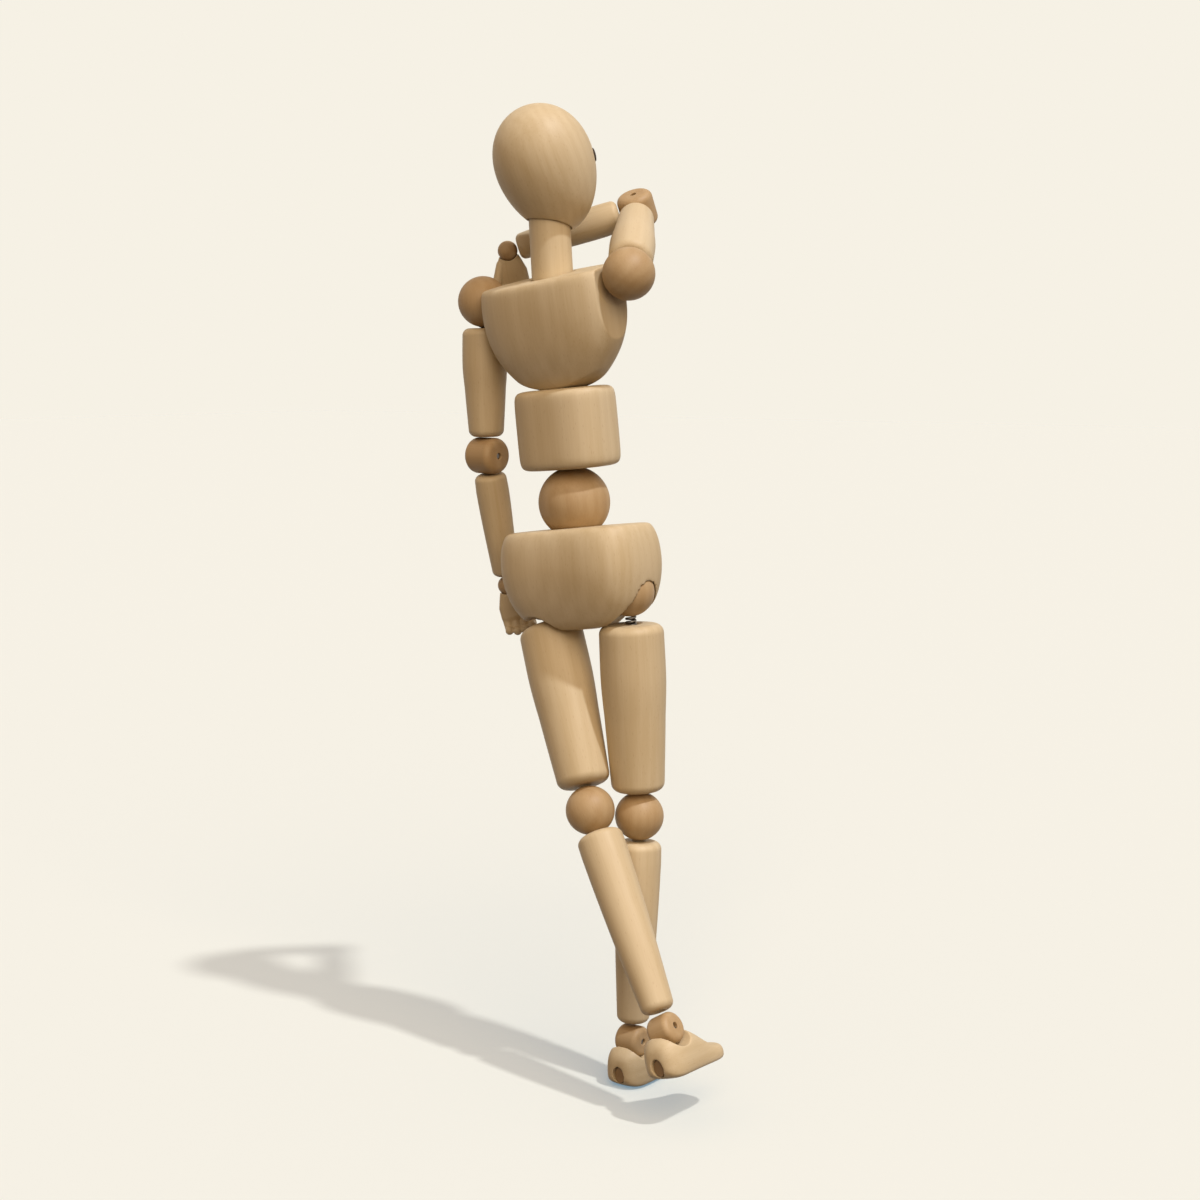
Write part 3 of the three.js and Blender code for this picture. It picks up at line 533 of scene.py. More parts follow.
# The top falls towards the back, more so the higher the wood is
slope_from = CHEST_LOW + CHEST_SLOPE_FROM
for vertex in chest.data.vertices:
    share = min(1, max(0, (vertex.co.z - slope_from) / (CHEST_TOP - slope_from)))
    vertex.co.z -= share * math.tan(CHEST_TOP_SLOPE) * (vertex.co.y - CHEST_BACK)
modified(chest, "SUBSURF", levels=2, render_levels=2)
foot_r = CHEST_SEAT_R - SEAT_GAP
cut(chest, ball_tool(foot_r, (0, 0, foot_r + CHEST_LOW)), "INTERSECT")
raised_arm = chest_place.inverted().to_3x3() @ -axis("right_arm_turn")
for side in (1, -1):
    cheek_at = side * (CHEST_CHEEK + CHEEK_CUTTER[0] / 2)
    bpy.ops.mesh.primitive_cube_add(size=1, location=(cheek_at, 0, 0), scale=CHEEK_CUTTER)
    cut(chest, bpy.context.object)
    dish_at = side * (SHOULDER_HALF - SHOULDER_BALL_R - SEAT_GAP + CHEST_DISH_R)
    cut(chest, ball_tool(CHEST_DISH_R, (dish_at, 0, 0)))
    lean = Vector((-side * raised_arm.x, raised_arm.y, raised_arm.z))
    notch_at = Vector((side * SHOULDER_HALF, 0, 0)) + (SHOULDER_BALL_R + ARM_NOTCH_LENGTH / 2) * lean
    notch_turn = lean.to_track_quat("Z", "Y").to_euler()
    cut(chest, rod_tool(UPPER_ARM_R + SEAT_GAP, ARM_NOTCH_LENGTH, notch_at, notch_turn))
cut(chest, ball_tool(NECK_R + SEAT_GAP, (0, 0, NECK_ABOVE)))
mouth_top = NECK_ABOVE + NECK_MOUTH_HEIGHT
mouth = [(0, NECK_ABOVE), (NECK_R + SEAT_GAP, NECK_ABOVE), (NECK_R + NECK_MOUTH, mouth_top), (0, mouth_top)]
cut(chest, turned("mouth", mouth))
sanded(chest, BLOCK_GRIT, SAND_PASSES)
settled(chest, chest_place, "chest", "chest", wood("chest_beech", chest_place, seed=33.2))

# Neck
# A short turned cylinder on a round foot that sits in the chest's socket. A pin crosses the foot
# and a spring runs up through the bore to the head.
NECK_LENGTH = 16.3
NECK_IN_HEAD = 3
NECK_PIN_BORE_R = 0.95
NECK_RIM = 0.6
neck_place = placed(pivot("neck_bend"), axis("neck_bend"), axis("head_turn"))
neck_top = NECK_LENGTH + NECK_IN_HEAD
foot_from = math.degrees(math.asin(SPRING_BORE_R / NECK_R)) - 90
neck_profile = [
    *arc(0, 0, NECK_R, foot_from, 0, 14),
    (NECK_R, 4), (NECK_R - 0.02, 8), (NECK_R - 0.03, 12), (NECK_R - 0.05, neck_top - NECK_RIM),
    *arc(NECK_R - 0.65, neck_top - NECK_RIM, NECK_RIM, 20, 90, 4),
    (SPRING_BORE_R, neck_top),
]
neck = turned("neck_post", [*neck_profile, neck_profile[0]])
cut(neck, rod_tool(NECK_PIN_BORE_R, 3 * NECK_R, turn=(0, math.pi / 2, 0)))
settled(neck, neck_place, "neck", "neck", wood("neck_beech", neck_place, seed=41.6), smooth=30)

# Head
# An egg turned from one block, its crown leaning back, sanded smooth and without a carved face.
# The neck's bore enters from below, and two shallow oval beds take the eyes.
HEAD_HALF_LENGTH = 19.5
HEAD_R = 14.9
HEAD_EGG = 0.107
HEAD_TILT = math.radians(19)
HEAD_CENTRE = 16
HEAD_STEPS = 48
HEAD_DRILL_BELOW = 12
head_up = axis("head_turn")
head_origin = pivot("neck_bend") + MM * NECK_LENGTH * head_up
eye_boxes = {name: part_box(name) for name in ("left_eye", "right_eye")}
eye_centres = {name: (low + high) / 2 for name, (low, high) in eye_boxes.items()}
face_ahead = (eye_centres["left_eye"] + eye_centres["right_eye"]) / 2 - head_origin
head_place = placed(head_origin, head_up.cross(face_ahead), head_up)
head_profile = []
for i in range(HEAD_STEPS + 1):
    t = math.pi * (1 - i / HEAD_STEPS)
    head_profile.append((HEAD_R * math.sin(t) * (1 + HEAD_EGG * math.cos(t)), HEAD_HALF_LENGTH * math.cos(t)))
head = turned("head_egg", head_profile)
head.data.transform(Matrix.Translation((0, 0, HEAD_CENTRE)) @ Matrix.Rotation(-HEAD_TILT, 4, "X"))
socket_length = HEAD_DRILL_BELOW + NECK_IN_HEAD + SEAT_GAP
socket_middle = (NECK_IN_HEAD + SEAT_GAP - HEAD_DRILL_BELOW) / 2
cut(head, rod_tool(NECK_R + SEAT_GAP, socket_length, (0, 0, socket_middle)))
head_grain = head_place @ Matrix.Rotation(-HEAD_TILT, 4, "X")

# Eyes
# Two small oval buttons of black-stained wood, domed and polished, let into the face.
EYE_HALF_WIDTH = 1.3
EYE_HALF_HEIGHT = 2.1
EYE_DEPTH = 1.4
EYE_PROUD = 0.5
EYE_SIDE = math.radians(25)
EYE_ABOVE = 3.4
EYE_BED_GAP = 0.25
EYE_AIM_FROM = 40
EYE_SIDES = 48
EYE_BLACK = (0.012, 0.006, 0.004, 1)
EYE_WORN = (0.05, 0.026, 0.014, 1)
EYE_GRAIN = 1800
EYE_ROUGHNESS = 0.62
EYE_ROUGHNESS_SPREAD = 0.2
eye_black = bpy.data.materials.new("eye_polish")
eye_black.use_nodes = True
eye_shader = eye_black.node_tree.nodes["Principled BSDF"]
eye_start = Link(eye_black.node_tree)
eye_at = eye_start.node("ShaderNodeTexCoord", output="Object")
eye_grain = eye_start.node("ShaderNodeTexNoise", {"Vector": eye_at, "Scale": EYE_GRAIN, "Detail": 3})
eye_tint = eye_start.node("ShaderNodeMix", {0: eye_grain, 6: EYE_BLACK, 7: EYE_WORN}, 2, data_type="RGBA")
eye_black.node_tree.links.new(eye_tint.socket, eye_shader.inputs["Base Color"])
eye_rough = EYE_ROUGHNESS + eye_grain * EYE_ROUGHNESS_SPREAD
eye_black.node_tree.links.new(eye_rough.socket, eye_shader.inputs["Roughness"])


def eye_button(name, grow):
    """An oval button along Z, its rim rounded and its face domed, larger all round by grow."""
    top = arc(0, 0, 1, 0, 90, 10)
    profile = [(0, -EYE_DEPTH - grow), (0.9, -EYE_DEPTH - grow), (1, -EYE_DEPTH + 0.15 - grow), (1, -0.1)]
    profile += [(r, EYE_PROUD * z) for r, z in top]
    button = turned(name, profile, EYE_SIDES)
    button.data.transform(Matrix.Diagonal((EYE_HALF_WIDTH + grow, EYE_HALF_HEIGHT + grow, 1, 1)))
    return button


for name, side in (("left_eye", 1), ("right_eye", -1)):
    out = Vector((side * math.sin(EYE_SIDE), -math.cos(EYE_SIDE), 0))
    aim_from = Vector((0, 0, HEAD_CENTRE + EYE_ABOVE)) + EYE_AIM_FROM * out
    _, hit, normal, _ = head.ray_cast(aim_from, -out)
    aim = Matrix.Translation(hit) @ Vector((0, 0, 1)).rotation_difference(normal).to_matrix().to_4x4()
    bed = eye_button("bed", EYE_BED_GAP)
    bed.data.transform(aim)
    cut(head, bed)
    button = eye_button(name, 0)
    button.data.transform(aim)
    settled(button, head_place, "head", name, eye_black, smooth=50)
sanded(head, SMALL_BLOCK_GRIT, SAND_PASSES)
settled(head, head_place, "head", "head", wood("head_beech", head_grain, seed=52.4))

# Limbs
# Thighs, shins, upper arms and forearms are turned with a slight belly, rounded at both ends and
# bored through for the spring that draws the figure together.
ELBOW_R = 5.6
ANKLE_R = 4.6
ANKLE_SETBACK = 1
THIGH_SPAN = 68.5
SHIN_SPAN = 69.3
UPPER_ARM_SPAN = 47.5
FOREARM_SPAN = 42.4
BORE_CHAMFER = 0.3
LIMB_SIDES = 72
LIMB_STEPS = 6
LIMB_SMOOTHINGS = 6
FALL_AT = 0.45
FALL_SWELL = 0.12
ELBOW_CUTTER = 30
# Radius at the top, at the belly, the belly's share of the length from the top, radius at the bottom,
# and the rounding of both edges
THIGH = (THIGH_TOP_R, 10, 0.33, 8.15, THIGH_EDGE)
SHIN = (7, 7.1, 0.15, 5, 2.3)
UPPER_ARM = (UPPER_ARM_R, 7, 0.35, 5.5, 2.2)
FOREARM = (5, 5.2, 0.2, 4.1, 1.9)
# Kind, shape, joint of the upper pin, joint along the limb, how far below the upper joint it starts, and
# the height of its lower end from there
LIMBS = (
    (
        "thigh", THIGH, "hip_swing", "leg_turn",
        HIP_BALL_R + THIGH_SETBACK, KNEE_BALL_R + SEAT_GAP - THIGH_SPAN,
    ),
    ("shin", SHIN, "knee_flex", "shin_turn", KNEE_BALL_R + SEAT_GAP, ANKLE_R + ANKLE_SETBACK - SHIN_SPAN),
    (
        "upper_arm", UPPER_ARM, "shoulder_swing", "arm_turn",
        SHOULDER_BALL_R + SEAT_GAP, ELBOW_R + SEAT_GAP - UPPER_ARM_SPAN,
    ),
    ("forearm", FOREARM, "elbow_flex", None, ELBOW_R + SEAT_GAP, WRIST_BALL_R + SEAT_GAP - FOREARM_SPAN),
)


def limb(name, shape, top, low):
    """A turned limb from its lower end plane up to its upper one."""
    upper, belly, belly_at, lower, edge = shape
    length = top - low
    knots = [
        (low + edge, lower),
        (low + FALL_AT * length, (belly + lower) / 2 + FALL_SWELL * (belly - lower)),
        (top - belly_at * length, belly),
        (top - edge, upper),
    ]
    side = []
    for (z0, r0), (z1, r1) in zip(knots, knots[1:]):
        for i in range(1, LIMB_STEPS):
            side.append((r0 + (r1 - r0) * i / LIMB_STEPS, z0 + (z1 - z0) * i / LIMB_STEPS))
        side.append((r1, z1))
    for _ in range(LIMB_SMOOTHINGS):
        side[1:-1] = [((a[0] + 2 * b[0] + c[0]) / 4, b[1]) for a, b, c in zip(side, side[1:], side[2:])]
    profile = [
        (SPRING_BORE_R, low + BORE_CHAMFER),
        (SPRING_BORE_R + BORE_CHAMFER, low),
        *arc(lower - edge, low + edge, edge, -90, 0, 8),
        *side[:-1],
        *arc(upper - edge, top - edge, edge, 0, 90, 8),
        (SPRING_BORE_R + BORE_CHAMFER, top),
        (SPRING_BORE_R, top - BORE_CHAMFER),
        (SPRING_BORE_R, low + BORE_CHAMFER),
    ]
    return turned(name, profile, LIMB_SIDES)


# Where each limb's spring ends, measured up from the joint above the limb
SPRING_INSET = 0.5
SPRING_HOLD = 1.8
SPRING_TOPS = {
    "thigh": SPRING_HOLD - HIP_BALL_R,
    "shin": -KNEE_BALL_R - SEAT_GAP - SPRING_INSET,
    "upper_arm": SPRING_HOLD - SHOULDER_BALL_R,
    "forearm": -ELBOW_R - SEAT_GAP - 2 * SPRING_INSET,
}
springs = []
for side_at, side in enumerate(("left", "right")):
    for limb_at, (kind, shape, pin_axis, long_axis, from_centre, low) in enumerate(LIMBS):
        name = f"{side}_{kind}"
        upper = pivot(f"{side}_{pin_axis}")
        if long_axis:
            along = axis(f"{side}_{long_axis}")
        else:
            along = upper - pivot(f"{side}_wrist_bend")
        limb_place = placed(upper, axis(f"{side}_{pin_axis}"), along)
        piece = limb(name + "_turning", shape, -from_centre, low)
        if kind == "forearm":
            cut(piece, rod_tool(ELBOW_R + SEAT_GAP, ELBOW_CUTTER, turn=(0, math.pi / 2, 0)))
        seed = 60.5 + 7.3 * limb_at + 31.9 * side_at
        limb_wood = wood(name + "_beech", limb_place, seed)
        settled(piece, limb_place, name, name, limb_wood, smooth=35)
        springs.append((name + "_spring", name, limb_place, low + SPRING_INSET, SPRING_TOPS[kind]))

# Elbow and ankle barrels
# Short cylinders of the balls' darker wood, their rims rounded, bored along the middle for the pin.
BARREL_CHAMFER = 0.15
# Kind, joint of the pin, radius, length, rounding of the rims, body, and joint along the limb
BARRELS = (
    ("elbow", "elbow_flex", ELBOW_R, 10.6, 2.1, "upper_arm", "arm_turn"),
    ("ankle", "ankle_flex", ANKLE_R, 8.2, 1.8, "ankle_barrel", "shin_turn"),
)
for side_at, side in enumerate(("left", "right")):
    for barrel_at, (kind, pin_axis, radius, length, edge, body, long_axis) in enumerate(BARRELS):
        hole = LIMB_PIN_R + PIN_GAP
        half = length / 2
        profile = [
            (hole, BARREL_CHAMFER - half),
            (hole + BARREL_CHAMFER, -half),
            *arc(radius - edge, edge - half, edge, -90, 0, 8),
            *arc(radius - edge, half - edge, edge, 0, 90, 8),
            (hole + BARREL_CHAMFER, half),
            (hole, half - BARREL_CHAMFER),
            (hole, BARREL_CHAMFER - half),
        ]
        name = f"{side}_{kind}_barrel"
        barrel = turned(name + "_turning", profile, LIMB_SIDES)
        lies_along_x(barrel)
        pin_joint = f"{side}_{pin_axis}"
        barrel_place = placed(pivot(pin_joint), axis(pin_joint), axis(f"{side}_{long_axis}"))
        seed = 130.2 + 9.1 * barrel_at + 23.4 * side_at
        grain = barrel_place @ Matrix.Rotation(math.pi / 2, 4, "Y")
        barrel_wood = wood(name + "_wood", grain, seed, BALL_PALE, BALL_DEEP, BALL_FLECK)
        settled(barrel, barrel_place, f"{side}_{body}", name, barrel_wood, smooth=35)

# Feet
# Carved from beech: a round heel, a saddle for the ankle barrel, an instep that falls to thin
# toes, and a flat sole. An oval plug closes the spring's hole in the heel. It is dark wood, made darker
# still with painted shade that stands in for the shade inside its recess.
FOOT_SOLE = 13.5
FOOT_HEEL = 7.6
FOOT_HALF_WIDTH = 6.9
FOOT_TOP = 0.1
PLUG_HALF_WIDTH = 1.8
PLUG_HALF_HEIGHT = 2.5
PLUG_DEPTH = 2.2
PLUG_FACE = FOOT_HEEL - 1
PLUG_AT = -FOOT_SOLE + 4
PLUG_RECESS_GAP = 0.25
PLUG_RIM = 0.2
PLUG_SIDES = 48
FOOT_GRIT = 0.25
SADDLE_CUTTER = 30
# Colours of the heel plug: dark wood, darkened further with painted shade for the recess it sits in
PLUG_DARK_AND_SHADE_PALE = (0.250, 0.150, 0.060, 1)
PLUG_DARK_AND_SHADE_DEEP = (0.170, 0.095, 0.036, 1)
# Sections of a foot from heel to toes: distance behind the ankle, share of the half width, and how far
# the top lies under the instep and the bottom over the sole
FOOT_SECTIONS = (
    (FOOT_HEEL, 0.4, 4.6, 3.4), (6.9, 0.62, 2.8, 1.7), (5.6, 0.8, 1.3, 0.6), (3.2, 0.95, 0.2, 0),
    (1, 1, 0, 0), (-3, 0.99, 0, 0), (-6.2, 0.96, 1.2, 0), (-10, 0.92, 4.2, 0), (-13.5, 0.88, 6.9, 0),
    (-16.5, 0.84, 8.2, 0), (-18.8, 0.74, 8.4, 0.1), (-20.4, 0.56, 9, 0.5), (-21.2, 0.34, 10, 1.3),
)
# The right half of a section: shares of its half width and half height
foot_half = [(0.74, -1), (0.95, -0.82), (1, -0.44), (1, 0.1), (0.87, 0.64), (0.5, 0.92)]
foot_outline = [(x, 0, z) for x, z in foot_half] + [(0, 0, 1)] + [(-x, 0, z) for x, z in reversed(foot_half)]


def plug_tool(name, grow, start, end):
    """An oval rod along Y at the heel."""
    rod = turned(name, [(0, start), (1, start), (1, end - PLUG_RIM), (0.94, end), (0, end)], PLUG_SIDES)
    size = Matrix.Diagonal((PLUG_HALF_WIDTH + grow, PLUG_HALF_HEIGHT + grow, 1, 1))
    lay = Matrix.Rotation(-math.pi / 2, 4, "X")
    rod.data.transform(Matrix.Translation((0, 0, PLUG_AT)) @ lay @ size)
    return rod


for side_at, side in enumerate(("left", "right")):
    foot_rings = []
    for y, share, drop, lift in FOOT_SECTIONS:
        low = lift - FOOT_SOLE
        high = FOOT_TOP - drop
        foot_rings.append(((0, y, (low + high) / 2), (share * FOOT_HALF_WIDTH, 1, (high - low) / 2)))
    foot = pulled(f"{side}_foot_carving", foot_outline, foot_rings)
    modified(foot, "SUBSURF", levels=2, render_levels=2)
    cut(foot, rod_tool(ANKLE_R + SEAT_GAP, SADDLE_CUTTER, turn=(0, math.pi / 2, 0)))
    cut(foot, plug_tool("recess", PLUG_RECESS_GAP, PLUG_FACE - PLUG_DEPTH - SEAT_GAP, FOOT_HEEL + 2))
    sanded(foot, FOOT_GRIT, SAND_PASSES)
    up = -Vector(mounts[f"{side}_sole"]["axis"])
    foot_place = placed(pivot(f"{side}_ankle_flex"), axis(f"{side}_ankle_flex"), up)
    foot_grain = foot_place @ Matrix.Rotation(math.pi / 2, 4, "X")
    foot_wood = wood(f"{side}_foot_beech", foot_grain, 150.7 + 4.9 * side_at)
    settled(foot, foot_place, f"{side}_foot", f"{side}_foot", foot_wood)
    plug = plug_tool(f"{side}_heel_oval", 0, PLUG_FACE - PLUG_DEPTH, PLUG_FACE)
    # The plug's dark colour is partly painted shade, which stands in for the shade inside its recess
    plug_wood_and_shade = wood(f"{side}_plug_wood_and_shade", foot_grain, 171.3 + side_at, PLUG_DARK_AND_SHADE_PALE, PLUG_DARK_AND_SHADE_DEEP, PLUG_DARK_AND_SHADE_DEEP)
    settled(plug, foot_place, f"{side}_foot", f"{side}_heel_plug", plug_wood_and_shade, smooth=40)

# Hands
# Carved in one piece: a palm, four fingers curled side by side and a thumb on the inner side. A
# round seat in the wrist end takes the wrist ball.
PALM_LENGTH = 9.4
PALM_HALF_WIDTH = 5.2
PALM_HALF_THICK = 2.3
FINGER_LENGTH = 9
FINGER_SHARES = (0.88, 1, 0.96, 0.78)
FINGER_R = 1.4
FINGER_TIP = 0.95
FINGER_CURL = 45
FIRST_BONE_BEND = 0.4 * FINGER_CURL
SECOND_BONE_BEND = 1.9 * FINGER_CURL
THUMB_LENGTH = 5.4
THUMB_R = 1.45
THUMB_LEAN = 22
THUMB_BEND = 16
THUMB_BELOW_WRIST = 2.6
PALM_SQUARE = 2.6
PALM_SIDES = 24
BONE_SIDES = 20
HAND_GRIT = 0.18


def finger_bone(start, length, radius, lean, bend):
    """One finger bone with round ends, from a joint, leaning sideways and bent towards the palm."""
    profile = [*arc(0, -length, radius, -90, 0, 5), *arc(0, 0, radius, 0, 90, 5)]
    bone = turned("bone", profile, BONE_SIDES)
    turn = Matrix.Rotation(math.radians(lean), 4, "Y") @ Matrix.Rotation(math.radians(bend), 4, "X")
    bone.data.transform(Matrix.Translation(start) @ turn)
    return bone


for side_at, (side, out) in enumerate((("left", 1), ("right", -1))):
    top = -0.4 * WRIST_BALL_R
    knuckles = top - PALM_LENGTH
    # Rings of the palm: shares of its half width and half thickness, and the height
    palm_rings = [
        (0.88, 0.62, knuckles - 0.7), (1, 0.9, knuckles + 0.6), (0.96, 1, top - 0.55 * PALM_LENGTH),
        (0.72, 0.95, top - 0.2 * PALM_LENGTH), (0.56, 0.85, top),
    ]
    rings = [((0, 0, z), (a * PALM_HALF_WIDTH, b * PALM_HALF_THICK, 1)) for a, b, z in palm_rings]
    parts = [pulled(f"{side}_hand_carving", superellipse(PALM_SQUARE, PALM_SIDES), rings)]
    pitch = 2 * (PALM_HALF_WIDTH - FINGER_R) / 3
    bend = math.radians(FIRST_BONE_BEND)
    for i, share in enumerate(FINGER_SHARES):
        length = 0.5 * share * FINGER_LENGTH
        first = Vector((out * (i - 1.5) * pitch * 0.98, -0.3, knuckles + 0.4))
        second = first + Vector((0, length * math.sin(bend), -length * math.cos(bend)))
        parts.append(finger_bone(first, length, FINGER_R, 0, FIRST_BONE_BEND))
        parts.append(finger_bone(second, 0.8 * length, FINGER_TIP * FINGER_R, 0, SECOND_BONE_BEND))
    thumb_at = (-out * 0.55 * PALM_HALF_WIDTH, 0.6, top - THUMB_BELOW_WRIST)
    parts.append(finger_bone(thumb_at, THUMB_LENGTH, THUMB_R, out * THUMB_LEAN, THUMB_BEND))
    hand = joined(parts)
    modified(hand, "REMESH", mode="VOXEL", voxel_size=HAND_GRIT)
    cut(hand, ball_tool(WRIST_BALL_R + SEAT_GAP))
    sanded(hand, HAND_GRIT, SAND_PASSES)
    hand_place = placed(pivot(f"{side}_wrist_bend"), axis(f"{side}_wrist_bend"), axis(f"{side}_hand_turn"))
    hand_wood = wood(f"{side}_hand_beech", hand_place, 190.4 + 8.3 * side_at)
    settled(hand, hand_place, f"{side}_hand", f"{side}_hand", hand_wood)

# Steel pins and springs
# Drawn steel wire, dull and a little darkened. The pins stay as the CAD has them, and each spring
# is wound close, as a tension spring is.
WIRE_R = 0.4
WIRE_SIDES = 8
WINDING = 1.1
WINDING_STEPS = 16
CROSS_BORE_BELOW = 9
CHEST_SPRING_HALF = 16
NECK_SPRING_ABOVE = 0.8
STEEL_PALE = (0.30, 0.29, 0.28, 1)
STEEL_DEEP = (0.10, 0.095, 0.09, 1)
STEEL_GRAIN = 900
STEEL_ROUGHNESS = 0.25
STEEL_ROUGHNESS_SPREAD = 0.3
steel = bpy.data.materials.new("steel_wire")
steel.use_nodes = True
steel_shader = steel.node_tree.nodes["Principled BSDF"]
steel_shader.inputs["Metallic"].default_value = 1
steel_start = Link(steel.node_tree)
steel_at = steel_start.node("ShaderNodeTexCoord", output="Object")
steel_grain = steel_start.node("ShaderNodeTexNoise", {"Vector": steel_at, "Scale": STEEL_GRAIN, "Detail": 4})
steel_shades = {0: steel_grain, 6: STEEL_DEEP, 7: STEEL_PALE}
steel_tint = steel_start.node("ShaderNodeMix", steel_shades, 2, data_type="RGBA")
steel.node_tree.links.new(steel_tint.socket, steel_shader.inputs["Base Color"])
steel_rough = STEEL_ROUGHNESS + steel_grain * STEEL_ROUGHNESS_SPREAD
steel.node_tree.links.new(steel_rough.socket, steel_shader.inputs["Roughness"])
for name, node in frame["nodes"].items():
    if name.endswith("_pin"):
        node.data.materials.clear()
        node.data.materials.append(steel)
across = Matrix.Rotation(math.pi / 2, 4, "Y")
pelvis_reach = HIP_HALF - HIP_BALL_R - SEAT_GAP
chest_seat_low = abdomen_top - CHEST_SEAT_SINK - SEAT_GAP
chest_spring_place = chest_place @ Matrix.Translation((0, 0, -CROSS_BORE_BELOW * MM)) @ across
springs += [
    ("pelvis_cross_spring", "pelvis", pelvis_place @ across, -pelvis_reach, pelvis_reach),
    ("chest_cross_spring", "chest", chest_spring_place, -CHEST_SPRING_HALF, CHEST_SPRING_HALF),
    ("spine_spring", "abdomen", waist_place, WAIST_BALL_R - SPRING_HOLD, chest_seat_low),
    ("neck_spring", "neck", neck_place, NECK_SPRING_ABOVE + SPRING_INSET, neck_top - SPRING_INSET),
]
for name, body, spring_place, low, high in springs:
    turns = round((high - low - 2 * WIRE_R) / WINDING)
    bpy.ops.object.select_all(action="DESELECT")
    start_at = (SPRING_BORE_R - PIN_GAP - WIRE_R, 0, low + WIRE_R)
    bpy.ops.mesh.primitive_circle_add(
        vertices=WIRE_SIDES, radius=WIRE_R, location=start_at, rotation=(math.pi / 2, 0, 0)
    )
    spring = bpy.context.object
    bpy.ops.object.transform_apply(location=True, rotation=True, scale=True)
    pitch = (high - low - 2 * WIRE_R) / turns
    modified(
        spring, "SCREW", steps=WINDING_STEPS, render_steps=WINDING_STEPS, screw_offset=pitch,
        iterations=turns, use_normal_calculate=True,
    )
    bpy.ops.object.mode_set(mode="EDIT")
    bpy.ops.mesh.select_all(action="SELECT")
    bpy.ops.mesh.fill_holes(sides=0)
    bpy.ops.mesh.select_all(action="SELECT")
    bpy.ops.mesh.normals_make_consistent(inside=False)
    bpy.ops.object.mode_set(mode="OBJECT")
    spring.name = spring.data.name = name + "_winding"
    settled(spring, spring_place, body, name, steel, smooth=50)

# Studio
# A pale floor just under the lower foot, a sun for the key light, a broad warm one for the fill and a
# warm sky. The camera stands behind the figure's right side.
FLOOR_SIZE = 12
FLOOR_BELOW = 0.0001
BACKDROP = (0.922, 0.880, 0.783, 1)
FLOOR_GLOW = (0.389, 0.708, 0.949, 1)
FLOOR_PAPER = (0.998, 0.934, 0.757, 1)
FLOOR_MATT = 0.65
FLOOR_BOUNCE = (0.06, 0.033, 0.015, 1)
SUN_FROM = Vector((-0.497, 0.056, 0.866))
SUN_STRENGTH = 1.65
SUN_COLOUR = (0.95, 1.0, 1.1)
SUN_ANGLE = math.radians(2.5)
FILL_FROM = Vector((-0.62, 0.53, 0.574))
FILL_STRENGTH = 1.8
FILL_ANGLE = math.radians(50)
FILL_COLOUR = (1.0, 0.81, 0.60)
SKY_ABOVE = (0.48, 0.34, 0.235, 1)
SKY_BELOW = (0.04, 0.022, 0.01, 1)
SKY_LOW = -0.2
SKY_HIGH = 0.5
CAMERA_AT = Vector((-0.38375, 0.50700, 0.08154))
CAMERA_LOOK = Vector((0.5990, -0.7925, -0.1148))
CAMERA_FOCUS = 2088.9 / 1200


def looked_at(start):
    """1 where the camera, steel or glass sees the studio, and 0 where it only lights the figure."""
    camera_rays = start.node("ShaderNodeLightPath", output="Is Camera Ray")
    kinds = camera_rays.socket.node.outputs
    glossy_rays = Link(start.tree, kinds["Is Glossy Ray"])
    clear_rays = Link(start.tree, kinds["Is Transmission Ray"])
    return start.sum("MAXIMUM", start.sum("MAXIMUM", camera_rays, glossy_rays), clear_rays)


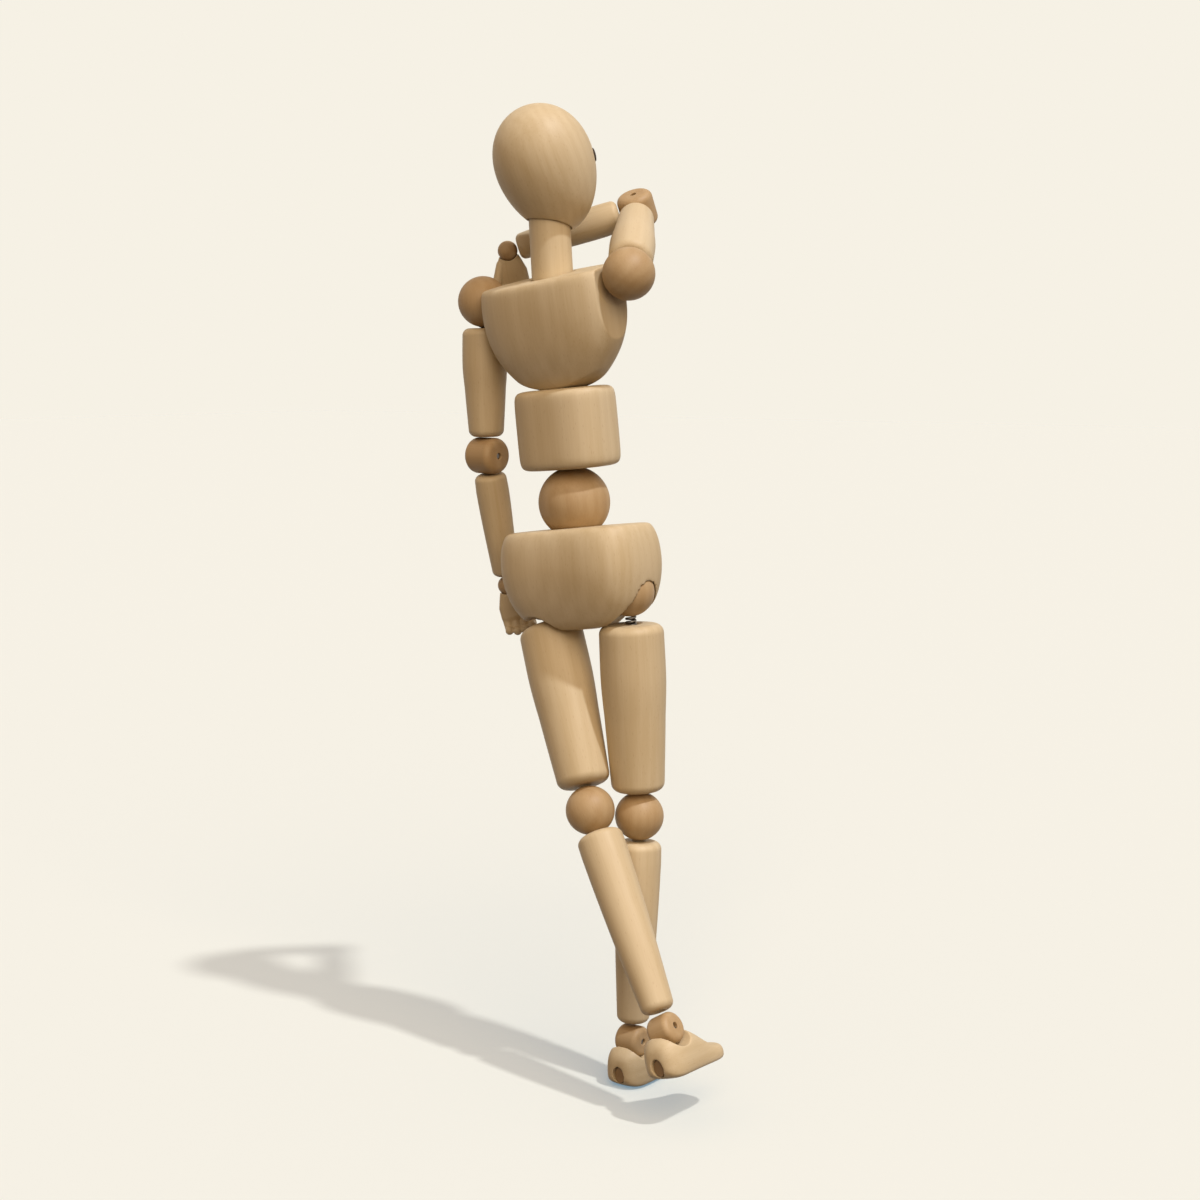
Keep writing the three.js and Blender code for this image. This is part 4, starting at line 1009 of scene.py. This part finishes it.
bpy.ops.object.select_all(action="DESELECT")
bpy.ops.mesh.primitive_plane_add(size=FLOOR_SIZE, location=(0, 0, cad_box[0][2] - FLOOR_BELOW))
floor = bpy.context.object
floor.name = "floor"
floor_finish = bpy.data.materials.new("floor_paper")
floor_finish.use_nodes = True
floor_tree = floor_finish.node_tree
floor_tree.nodes.clear()
floor_start = Link(floor_tree)
glow = floor_start.node("ShaderNodeEmission", {"Color": FLOOR_GLOW, "Strength": 1})
paper = floor_start.node("ShaderNodeBsdfDiffuse", {"Color": FLOOR_PAPER})
bounce = floor_start.node("ShaderNodeBsdfDiffuse", {"Color": FLOOR_BOUNCE})
shown = floor_start.node("ShaderNodeMixShader", {0: FLOOR_MATT, 1: glow, 2: paper})
floor_out = floor_start.node("ShaderNodeMixShader", {0: looked_at(floor_start), 1: bounce, 2: shown})
surface = floor_tree.nodes.new("ShaderNodeOutputMaterial")
floor_tree.links.new(floor_out.socket, surface.inputs["Surface"])
floor.data.materials.append(floor_finish)

world = bpy.data.worlds.new("studio")
bpy.context.scene.world = world
world.use_nodes = True
world.node_tree.nodes.clear()
sky_start = Link(world.node_tree)
sky_at = sky_start.node("ShaderNodeTexCoord", output="Generated")
heights = sky_start.node("ShaderNodeSeparateXYZ", {"Vector": sky_at}, "Z")
rise = {"Value": heights, 1: SKY_LOW, 2: SKY_HIGH, 3: 0, 4: 1}
mix = sky_start.node("ShaderNodeMapRange", rise, clamp=True)
sky = sky_start.node("ShaderNodeMix", {0: mix, 6: SKY_BELOW, 7: SKY_ABOVE}, 2, data_type="RGBA")
sky_shades = {0: looked_at(sky_start), 6: sky, 7: BACKDROP}
backdrop = sky_start.node("ShaderNodeMix", sky_shades, 2, data_type="RGBA")
background = sky_start.node("ShaderNodeBackground", {"Color": backdrop})
sky_out = world.node_tree.nodes.new("ShaderNodeOutputWorld")
world.node_tree.links.new(background.socket, sky_out.inputs["Surface"])

lamps = (
    ("key", SUN_FROM, SUN_STRENGTH, SUN_ANGLE, SUN_COLOUR),
    ("fill", FILL_FROM, FILL_STRENGTH, FILL_ANGLE, FILL_COLOUR),
)
for name, shines_from, strength, angle, colour in lamps:
    sun = bpy.data.lights.new(name, "SUN")
    sun.energy = strength
    sun.angle = angle
    sun.color = colour
    lamp = bpy.data.objects.new(name, sun)
    lamp.rotation_euler = shines_from.to_track_quat("Z", "Y").to_euler()
    bpy.context.scene.collection.objects.link(lamp)

lens = bpy.data.cameras.new("camera")
lens.lens = CAMERA_FOCUS * lens.sensor_width
camera = bpy.data.objects.new("camera", lens)
camera.location = CAMERA_AT
camera.rotation_euler = CAMERA_LOOK.to_track_quat("-Z", "Y").to_euler()
bpy.context.scene.collection.objects.link(camera)
bpy.context.scene.camera = camera
bpy.context.scene.view_settings.view_transform = "Standard"
